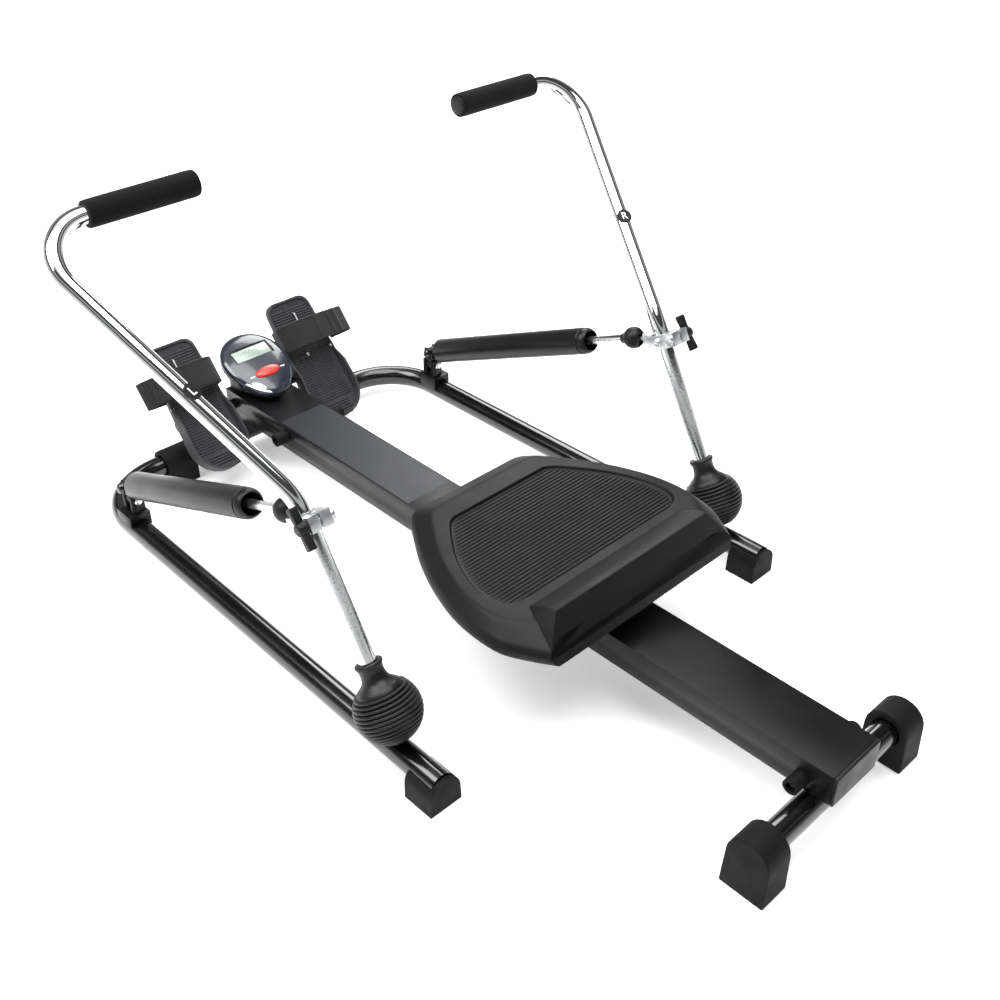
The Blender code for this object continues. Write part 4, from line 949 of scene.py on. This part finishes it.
def resample(points, count):
    """Evenly spaced points along a polyline."""
    points = [Vector(p) for p in points]
    lengths = [0.0]
    for a, b in zip(points, points[1:]):
        lengths.append(lengths[-1] + (b - a).length)
    result, i = [], 0
    for k in range(count):
        target = lengths[-1] * k / (count - 1)
        while i < len(points) - 2 and lengths[i + 1] < target:
            i += 1
        span = lengths[i + 1] - lengths[i]
        result.append(points[i].lerp(points[i + 1], (target - lengths[i]) / span))
    return result


def closed_edge(half, sides, ends):
    """A symmetric loop: front edge, right side, rear edge and left side."""
    right = resample([tuple(p) for p in smooth_curve(half, 10)], sides)
    left = [Vector((-p.x, p.y)) for p in reversed(right)]
    rear = [right[-1].lerp(left[0], k / ends) for k in range(1, ends)]
    front = [left[-1].lerp(right[0], k / ends) for k in range(1, ends)]
    return right + rear + left + front


def step_mix(value, low, high):
    """A smooth step from 0 to 1."""
    t = max(0.0, min(1.0, (value - low) / (high - low)))
    return t * t * (3 - 2 * t)


def read_profile(profile, position):
    """The height of a (position, height) profile at a position."""
    for (a, low), (b, high) in zip(profile, profile[1:]):
        if position <= b:
            return low + (high - low) * (position - a) / (b - a)
    return profile[-1][1]


def make_seat():
    """Moulded seat: bevelled rim, raised back edge and a ribbed hollow, on its carriage."""
    outer = closed_edge(SEAT_EDGE, EDGE_POINTS, 40)
    inner = closed_edge(RECESS_EDGE, EDGE_POINTS, 40)
    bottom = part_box("seat_pad")[0][2]
    rise = [(0.0, 0.1515), (0.04, 0.1550), (0.10, 0.1590), (0.46, 0.1712), (0.53, 0.1730), (0.60, 0.1738),
            (1.0, 0.1745)]
    fractions = sorted({f for f, _ in rise} | {0.02, 0.07, 0.2, 0.35, 0.56, 0.75, 0.9, 0.97})
    rings = []
    for drop, draw in ((bottom, 0.955), (bottom, 0.985), (bottom + 0.002, 0.995), (bottom + 0.006, 1.0)):
        rings.append([at(p.x * draw, 0.092 + (p.y - 0.092) * draw, drop) for p in outer])
    for fraction in fractions:
        rings.append([at(*a.lerp(b, fraction), read_profile(rise, fraction)) for a, b in zip(outer, inner)])
    for inset, level in ((0.990, 0.1742), (0.984, 0.1730), (0.980, 0.1712), (0.972, 0.1706), (0.930, 0.1705)):
        rings.append([at(p.x * inset, 0.095 + (p.y - 0.095) * inset, level) for p in inner])
    wall = [(-0.0385, 0.1895), (-0.0640, 0.1430), (-0.0667, 0.1380), (-0.1200, 0.1380), (-0.1200, 0.2100),
            (-0.0273, 0.2100)]
    behind = build(fill_rings, [[at(x, y, z) for y, z in wall] for x in (-0.25, 0.25)])
    shape = bevelled(cut_from(subdivided(build(fill_rings, rings), 1), behind), 0.0012, 3, 40)
    seat = piece("seat_cushion", shape, "seat_skin", "seat", ["seat_pad"], sharp=80)
    crest = [(0.0020, 0.1728), (-0.0010, 0.1762), (-0.0270, 0.1890), (-0.0345, 0.1905), (-0.0600, 0.1905),
             (-0.0700, 0.1500), (-0.0100, 0.1495)]
    low = [(y, min(z, 0.1500)) for y, z in crest]
    ridge = build(fill_rings, [[at(x, y, z) for y, z in row] for x, row in
                               ((-0.1590, low), (-0.1290, crest), (0.1290, crest), (0.1590, low))])
    piece("seat_ridge", bevelled(cut_from(ridge, behind), 0.0013, 3, 20), "seat_skin", "seat", sharp=60)
    make_seat_ribs(inner)
    carriage = bevelled(cad_copy("seat_carriage"), 0.0010, 3)
    piece("carriage_channel", carriage, "bright_zinc", "seat", ["seat_carriage"])
    for name in ("rear_roller", "front_roller"):
        centre = (Vector(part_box(name)[0]) + Vector(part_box(name)[1])) / 2
        half = rounded([(0.0038, 0.036), (0.0112, 0.036), (0.0120, 0.035), (0.0120, 0.0235), (0.0090, 0.0205),
                        (0.0090, 0.0)], 0.0006)
        profile = half + [(r, -h) for r, h in reversed(half)][1:]
        body = name.replace("roller", "wheel")
        piece(f"{name}_tread", turned(profile, basis(centre, X), 56, True), "grey_nylon", body, [name])
        axle = turned(rounded([(0, 0.0530), (0.0050, 0.0530), (0.0055, 0.0465), (0.0035, 0.0465),
                               (0.0035, 0)], 0.0006), basis(centre, X), 40)
        piece(f"{name}_spindle", joined(axle, mirrored(axle)), "bright_zinc", "seat", [f"{name}_axle"])


def make_seat_ribs(edge):
    """Rounded ribs across the hollow, each as long as the hollow is wide there."""
    sizes = bpy.context.scene.rower_sizes
    right = edge[:EDGE_POINTS]
    low, high, pitch = right[-1].y + 0.0035, right[0].y - 0.0030, sizes.seat_rib_pitch
    count = int((high - low) / pitch)
    samples, across = 8, 24
    rows = []
    for k in range(count * samples + 1):
        y = low + (high - low) * k / (count * samples)
        width = next((a.x + (b.x - a.x) * (a.y - y) / max(a.y - b.y, 1e-6)
                      for a, b in zip(right, right[1:]) if b.y <= y <= a.y), right[-1].x)
        ridge = 0.5 - 0.5 * math.cos(2 * math.pi * k / samples)
        row = []
        for i in range(across + 1):
            t = 2 * i / across - 1
            t = math.copysign(1 - (1 - abs(t)) ** 1.6, t)
            fade = step_mix(1 - abs(t), 0.0, 0.05)
            row.append(at(t * (width - 0.0035), y, 0.1698 + sizes.seat_rib_height * ridge ** 0.7 * fade))
        rows.append(row)

    def fill(bm):
        grid = [[bm.verts.new(p) for p in row] for row in rows]
        for first, second in zip(grid, grid[1:]):
            for i in range(across):
                bm.faces.new((first[i], first[i + 1], second[i + 1], second[i]))
    mesh = build(fill)
    if mesh.polygons[0].normal.z < 0:
        mesh.flip_normals()
    solid = with_modifier(mesh, "SOLIDIFY", thickness=0.0012, offset=-1.0)
    piece("seat_ribs", solid, "seat_skin", "seat", sharp=60)


# ------------------------------------------------------------------ monitor
def monitor_place():
    return Matrix.Translation(MONITOR) @ Matrix.Rotation(MONITOR_TILT, 4, "X")


def egg_point(scale, angle):
    """A point on an oval that is broader at its far end."""
    width = MONITOR_HALF_WIDTH * (1 + MONITOR_SWELL * math.sin(angle))
    return scale * width * math.cos(angle), scale * MONITOR_HALF_LENGTH * math.sin(angle)


def egg(scale, count=96):
    """The monitor's outline at a scale."""
    points = []
    for k in range(count):
        angle = 2 * math.pi * k / count
        points.append(egg_point(scale, angle))
    return points


def egg_rings(levels):
    place = monitor_place()
    return build(fill_rings, [[place @ Vector((u, v, h)) for u, v in egg(s)] for s, h in levels])


def oval(half_x, half_y, centre, count=48):
    return [(centre[0] + half_x * math.cos(a), centre[1] + half_y * math.sin(a))
            for a in (2 * math.pi * k / count for k in range(count))]


def make_monitor():
    """Egg-shaped monitor with its window, key and window rim, a painted highlight on its outer rim, and its
    pedestal.
    """
    place = monitor_place()
    base = egg_rings([(0.60, -0.0200), (0.80, -0.0185), (0.92, -0.0145), (0.975, -0.0095), (0.985, -0.0060),
                      (0.975, -0.0052), (0.30, -0.0052)])
    piece("monitor_lower", base, "black_nylon", "frame", ["monitor_base"])
    top = egg_rings([(0.96, -0.0050), (0.985, -0.0046), (0.998, -0.0020), (0.99, 0.0010), (0.965, 0.0032),
                     (0.92, 0.0050), (0.84, 0.0068), (0.70, 0.0084), (0.50, 0.0094), (0.25, 0.0099),
                     (0.05, 0.0100)])
    window = block((-0.0335, 0.0070, 0.0058), (0.0335, 0.0330, 0.03), place)
    key_hole = prism(oval(0.0208, 0.0090, (0, KEY_Y)), 0.004, 0.03, place)
    top = cut_from(cut_from(top, window), key_hole)
    piece("monitor_upper", top, "polished_abs", "frame", ["monitor_top"], sharp=30)
    glass = bevelled(block((-0.0305, 0.0095, 0.0058), (0.0305, 0.0305, 0.0072), place), 0.0004, 2)
    piece("monitor_glass", glass, "crystal_display", "frame", ["monitor_lens"])
    rim = cut_from(block((-0.0334, 0.0071, 0.0059), (0.0334, 0.0329, 0.0080), place),
                   block((-0.0307, 0.0093, 0.0), (0.0307, 0.0307, 0.02), place))
    piece("window_rim", bevelled(rim, 0.0004, 2), "black_nylon", "frame")
    key = [(0.93, 0.0), (1.0, 0.0060), (1.0, 0.0108), (0.94, 0.0120), (0.80, 0.0128), (0.50, 0.0134),
           (0.1, 0.0136)]
    rings = [[place @ Vector((u, v, h)) for u, v in oval(0.0202 * s, 0.0085 * s, (0, KEY_Y))] for s, h in key]
    piece("monitor_key", build(fill_rings, rings), "red_abs", "button", ["monitor_button"])
    dashes = [bevelled(block((x - 0.0045, -0.0240, 0.0060), (x + 0.0045, -0.0220, 0.0088), place), 0.0003, 1)
              for x in (-0.0262, 0.0262)]
    piece("key_dashes", joined(*dashes), "white_print", "frame")
    make_digits(place)
    make_painted_highlight(place)
    show_plain("circuit_board", "green_laminate")
    show_plain("monitor_pedestal", "black_nylon")


def make_digits(place):
    """Plain seven-bar figures on the display."""
    bars = {"a": ((0.2, 1.9), (0.8, 2.0)), "b": ((0.86, 1.05), (0.98, 1.9)), "c": ((0.86, 0.1), (0.98, 0.95)),
            "d": ((0.2, 0.0), (0.8, 0.1)), "e": ((0.02, 0.1), (0.14, 0.95)), "f": ((0.02, 1.05), (0.14, 1.9))}
    shapes = []
    scale, bottom = 0.0055, 0.0140
    for column in range(3):
        x = -0.012 + column * 0.0085
        for key in "abcdef":
            (a, b), (c, d) = bars[key]
            shapes.append(block((x + a * scale, bottom + b * scale, 0.00710),
                                (x + c * scale, bottom + d * scale, 0.0073), place))
    piece("display_figures", joined(*shapes), "green_laminate", "frame")


def make_painted_highlight(place):
    """A painted highlight: a light silver crescent on the rim at the near left, standing in for the light
    that the rounded rim mirrors.
    """
    inner, outer = [], []
    steps, rim = 24, 0.968
    for k in range(steps + 1):
        angle = math.radians(206 + 44 * k / steps)
        swell = 0.17 * math.sin(math.pi * k / steps) ** 0.8
        outer.append(egg_point(rim, angle))
        inner.append(egg_point(rim - swell - 0.004, angle))
    outer_row = [place @ Vector((u, v, 0.0034)) for u, v in outer]
    inner_row = [place @ Vector((u, v, 0.0036 + 0.0042 * math.sin(math.pi * k / steps)))
                 for k, (u, v) in enumerate(inner)]

    def fill(bm):
        low = [bm.verts.new(p) for p in outer_row]
        high = [bm.verts.new(p) for p in inner_row]
        for k in range(steps):
            bm.faces.new((low[k], low[k + 1], high[k + 1], high[k]))
    # painted highlight: this light silver strip stands for the light mirrored on the monitor's rim and is not
    # a separate part
    highlight_band = with_modifier(build(fill), "SOLIDIFY", thickness=0.0008, offset=0.0)
    piece("rim_highlight_band", highlight_band, "painted_rim_highlight", "frame")


# ------------------------------------------------------------------ stage
def make_stage():
    """Pale floor, soft studio light and the camera."""
    scene = bpy.context.scene
    bpy.ops.mesh.primitive_plane_add(size=60, location=(0, 0, 0))
    floor = bpy.context.object
    floor.name = "studio_floor"
    made, _, _ = new_material("painted_floor", Roughness=0.75, Emission_Strength=0.4,
                              Emission_Color=linear("ffffff"), Base_Color=linear("f6f6f6"))
    floor.data.materials.append(made)
    world = bpy.data.worlds.new("studio")
    scene.world = world
    world.use_nodes = True
    tree = world.node_tree
    ray = add_node(tree, "ShaderNodeTexCoord")
    height = add_node(tree, "ShaderNodeSeparateXYZ", links={"Vector": ray.outputs["Generated"]})
    ramp = add_node(tree, "ShaderNodeValToRGB", links={"Fac": height.outputs["Z"]})
    stops = ramp.color_ramp.elements
    stops[0].position, stops[0].color = 0.0, (0.75, 0.75, 0.75, 1)
    stops[1].position, stops[1].color = 1.0, (1.0, 1.0, 1.0, 1)
    # dark and light bands above the horizon, for the chrome to mirror
    for position, value in ((0.20, 0.72), (0.27, 0.05), (0.40, 0.04), (0.46, 0.50), (0.56, 0.45),
                            (0.62, 0.05), (0.80, 0.08), (0.86, 0.9)):
        stop = stops.new(position)
        stop.color = (value, value, value, 1)
    tree.links.new(ramp.outputs["Color"], tree.nodes["Background"].inputs["Color"])
    tree.nodes["Background"].inputs["Strength"].default_value = 0.9
    for name, place, target, size, power in (("key", (-1.6, 0.9, 2.4), (0, 0, 0.1), 1.6, 75.0),
                                             ("fill", (1.8, 1.6, 2.0), (0, 0, 0.1), 1.4, 48.0),
                                             ("top", (0.0, -0.3, 3.0), (0, 0, 0.0), 2.4, 95.0)):
        light = bpy.data.lights.new(name, "AREA")
        light.size = size
        light.energy = power
        lamp = bpy.data.objects.new(name, light)
        lamp.location = place
        lamp.rotation_euler = (Vector(target) - Vector(place)).to_track_quat("-Z", "Y").to_euler()
        scene.collection.objects.link(lamp)
    camera = bpy.data.cameras.new("camera")
    camera.lens = 43.57
    eye = bpy.data.objects.new("camera", camera)
    eye.location = at(-0.8595, -0.7074, 1.035)
    eye.rotation_euler = (math.radians(90 - 35.25), 0, -math.radians(44.035))
    scene.collection.objects.link(eye)
    scene.camera = eye
    scene.view_settings.view_transform = "Standard"


# ------------------------------------------------------------------ add-on
class RowerSizes(bpy.types.PropertyGroup):
    """Sizes of the finished surfaces."""
    beam_edge: FloatProperty(name="Beam edge", description="Radius of the beam's edges",
                             default=0.0018, min=0.0005, unit="LENGTH")
    rubber_edge: FloatProperty(name="Rubber edge", description="Radius of the feet's edges",
                               default=0.0022, min=0.0005, unit="LENGTH")
    boot_ribs: IntProperty(name="Boot ribs", description="Ribs on each rubber boot",
                           default=14, min=4, max=20)
    rib_pitch: FloatProperty(name="Plate rib pitch", description="Spacing of the foot plates' ribs",
                             default=0.0042, min=0.002, unit="LENGTH")
    seat_rib_pitch: FloatProperty(name="Seat rib pitch", description="Spacing of the seat's ribs",
                                  default=0.0053, min=0.003, unit="LENGTH")
    seat_rib_height: FloatProperty(name="Seat rib height", description="Height of the seat's ribs",
                                   default=0.0021, min=0.0005, unit="LENGTH")
    strap_thickness: FloatProperty(name="Strap thickness", description="Thickness of the webbing",
                                   default=0.0020, min=0.001, unit="LENGTH")


class RowerFinishes(bpy.types.PropertyGroup):
    """Colours of the finished surfaces."""
    film_colour: FloatVectorProperty(name="Beam film", description="Colour of the film on the beam",
                                     subtype="COLOR", size=3, default=linear("1e2025")[:3], min=0.0, max=1.0)
    key_colour: FloatVectorProperty(name="Key", description="Colour of the monitor's key",
                                    subtype="COLOR", size=3, default=linear("ec3b2e")[:3], min=0.0, max=1.0)


class ROWER_OT_base(bpy.types.Operator):
    """Build the beam, base tubes, feet and stops"""
    bl_idname = "rower.base"
    bl_label = "Base frame"

    def execute(self, context):
        make_base()
        return {"FINISHED"}


class ROWER_OT_arms(bpy.types.Operator):
    """Build the chrome arms, grips, clamps and knobs"""
    bl_idname = "rower.arms"
    bl_label = "Arms"

    def execute(self, context):
        make_arms()
        return {"FINISHED"}


class ROWER_OT_boots(bpy.types.Operator):
    """Build the rubber boots"""
    bl_idname = "rower.boots"
    bl_label = "Boots"

    def execute(self, context):
        make_boots()
        return {"FINISHED"}


class ROWER_OT_dampers(bpy.types.Operator):
    """Build the hydraulic cylinders and their joints"""
    bl_idname = "rower.dampers"
    bl_label = "Cylinders"

    def execute(self, context):
        make_dampers()
        return {"FINISHED"}


class ROWER_OT_plates(bpy.types.Operator):
    """Build the foot plates and straps"""
    bl_idname = "rower.plates"
    bl_label = "Foot plates"

    def execute(self, context):
        make_foot_plates()
        return {"FINISHED"}


class ROWER_OT_seat(bpy.types.Operator):
    """Build the seat and its carriage"""
    bl_idname = "rower.seat"
    bl_label = "Seat"

    def execute(self, context):
        make_seat()
        return {"FINISHED"}


class ROWER_OT_monitor(bpy.types.Operator):
    """Build the monitor"""
    bl_idname = "rower.monitor"
    bl_label = "Monitor"

    def execute(self, context):
        make_monitor()
        return {"FINISHED"}


class ROWER_OT_stage(bpy.types.Operator):
    """Build the floor, light and camera"""
    bl_idname = "rower.stage"
    bl_label = "Stage"

    def execute(self, context):
        make_stage()
        return {"FINISHED"}


OPERATORS = (ROWER_OT_stage, ROWER_OT_base, ROWER_OT_arms, ROWER_OT_boots, ROWER_OT_dampers, ROWER_OT_plates,
             ROWER_OT_seat, ROWER_OT_monitor)


class ROWER_PT_panel(bpy.types.Panel):
    """Lists the settings and the build steps"""
    bl_label = "Rowing machine"
    bl_idname = "ROWER_PT_panel"
    bl_space_type = "VIEW_3D"
    bl_region_type = "UI"
    bl_category = "Rower"

    def draw(self, context):
        for group in (context.scene.rower_sizes, context.scene.rower_finishes):
            for name in group.__annotations__:
                self.layout.prop(group, name)
        for operator in OPERATORS:
            self.layout.operator(operator.bl_idname)


CLASSES = (RowerSizes, RowerFinishes, *OPERATORS, ROWER_PT_panel)


def register():
    for cls in CLASSES:
        bpy.utils.register_class(cls)
    bpy.types.Scene.rower_sizes = PointerProperty(type=RowerSizes)
    bpy.types.Scene.rower_finishes = PointerProperty(type=RowerFinishes)


def unregister():
    del bpy.types.Scene.rower_finishes
    del bpy.types.Scene.rower_sizes
    for cls in reversed(CLASSES):
        bpy.utils.unregister_class(cls)


def main():
    register()
    for step in ("stage", "base", "arms", "boots", "dampers", "plates", "seat", "monitor"):
        getattr(bpy.ops.rower, step)()


if __name__ == "__main__":
    main()
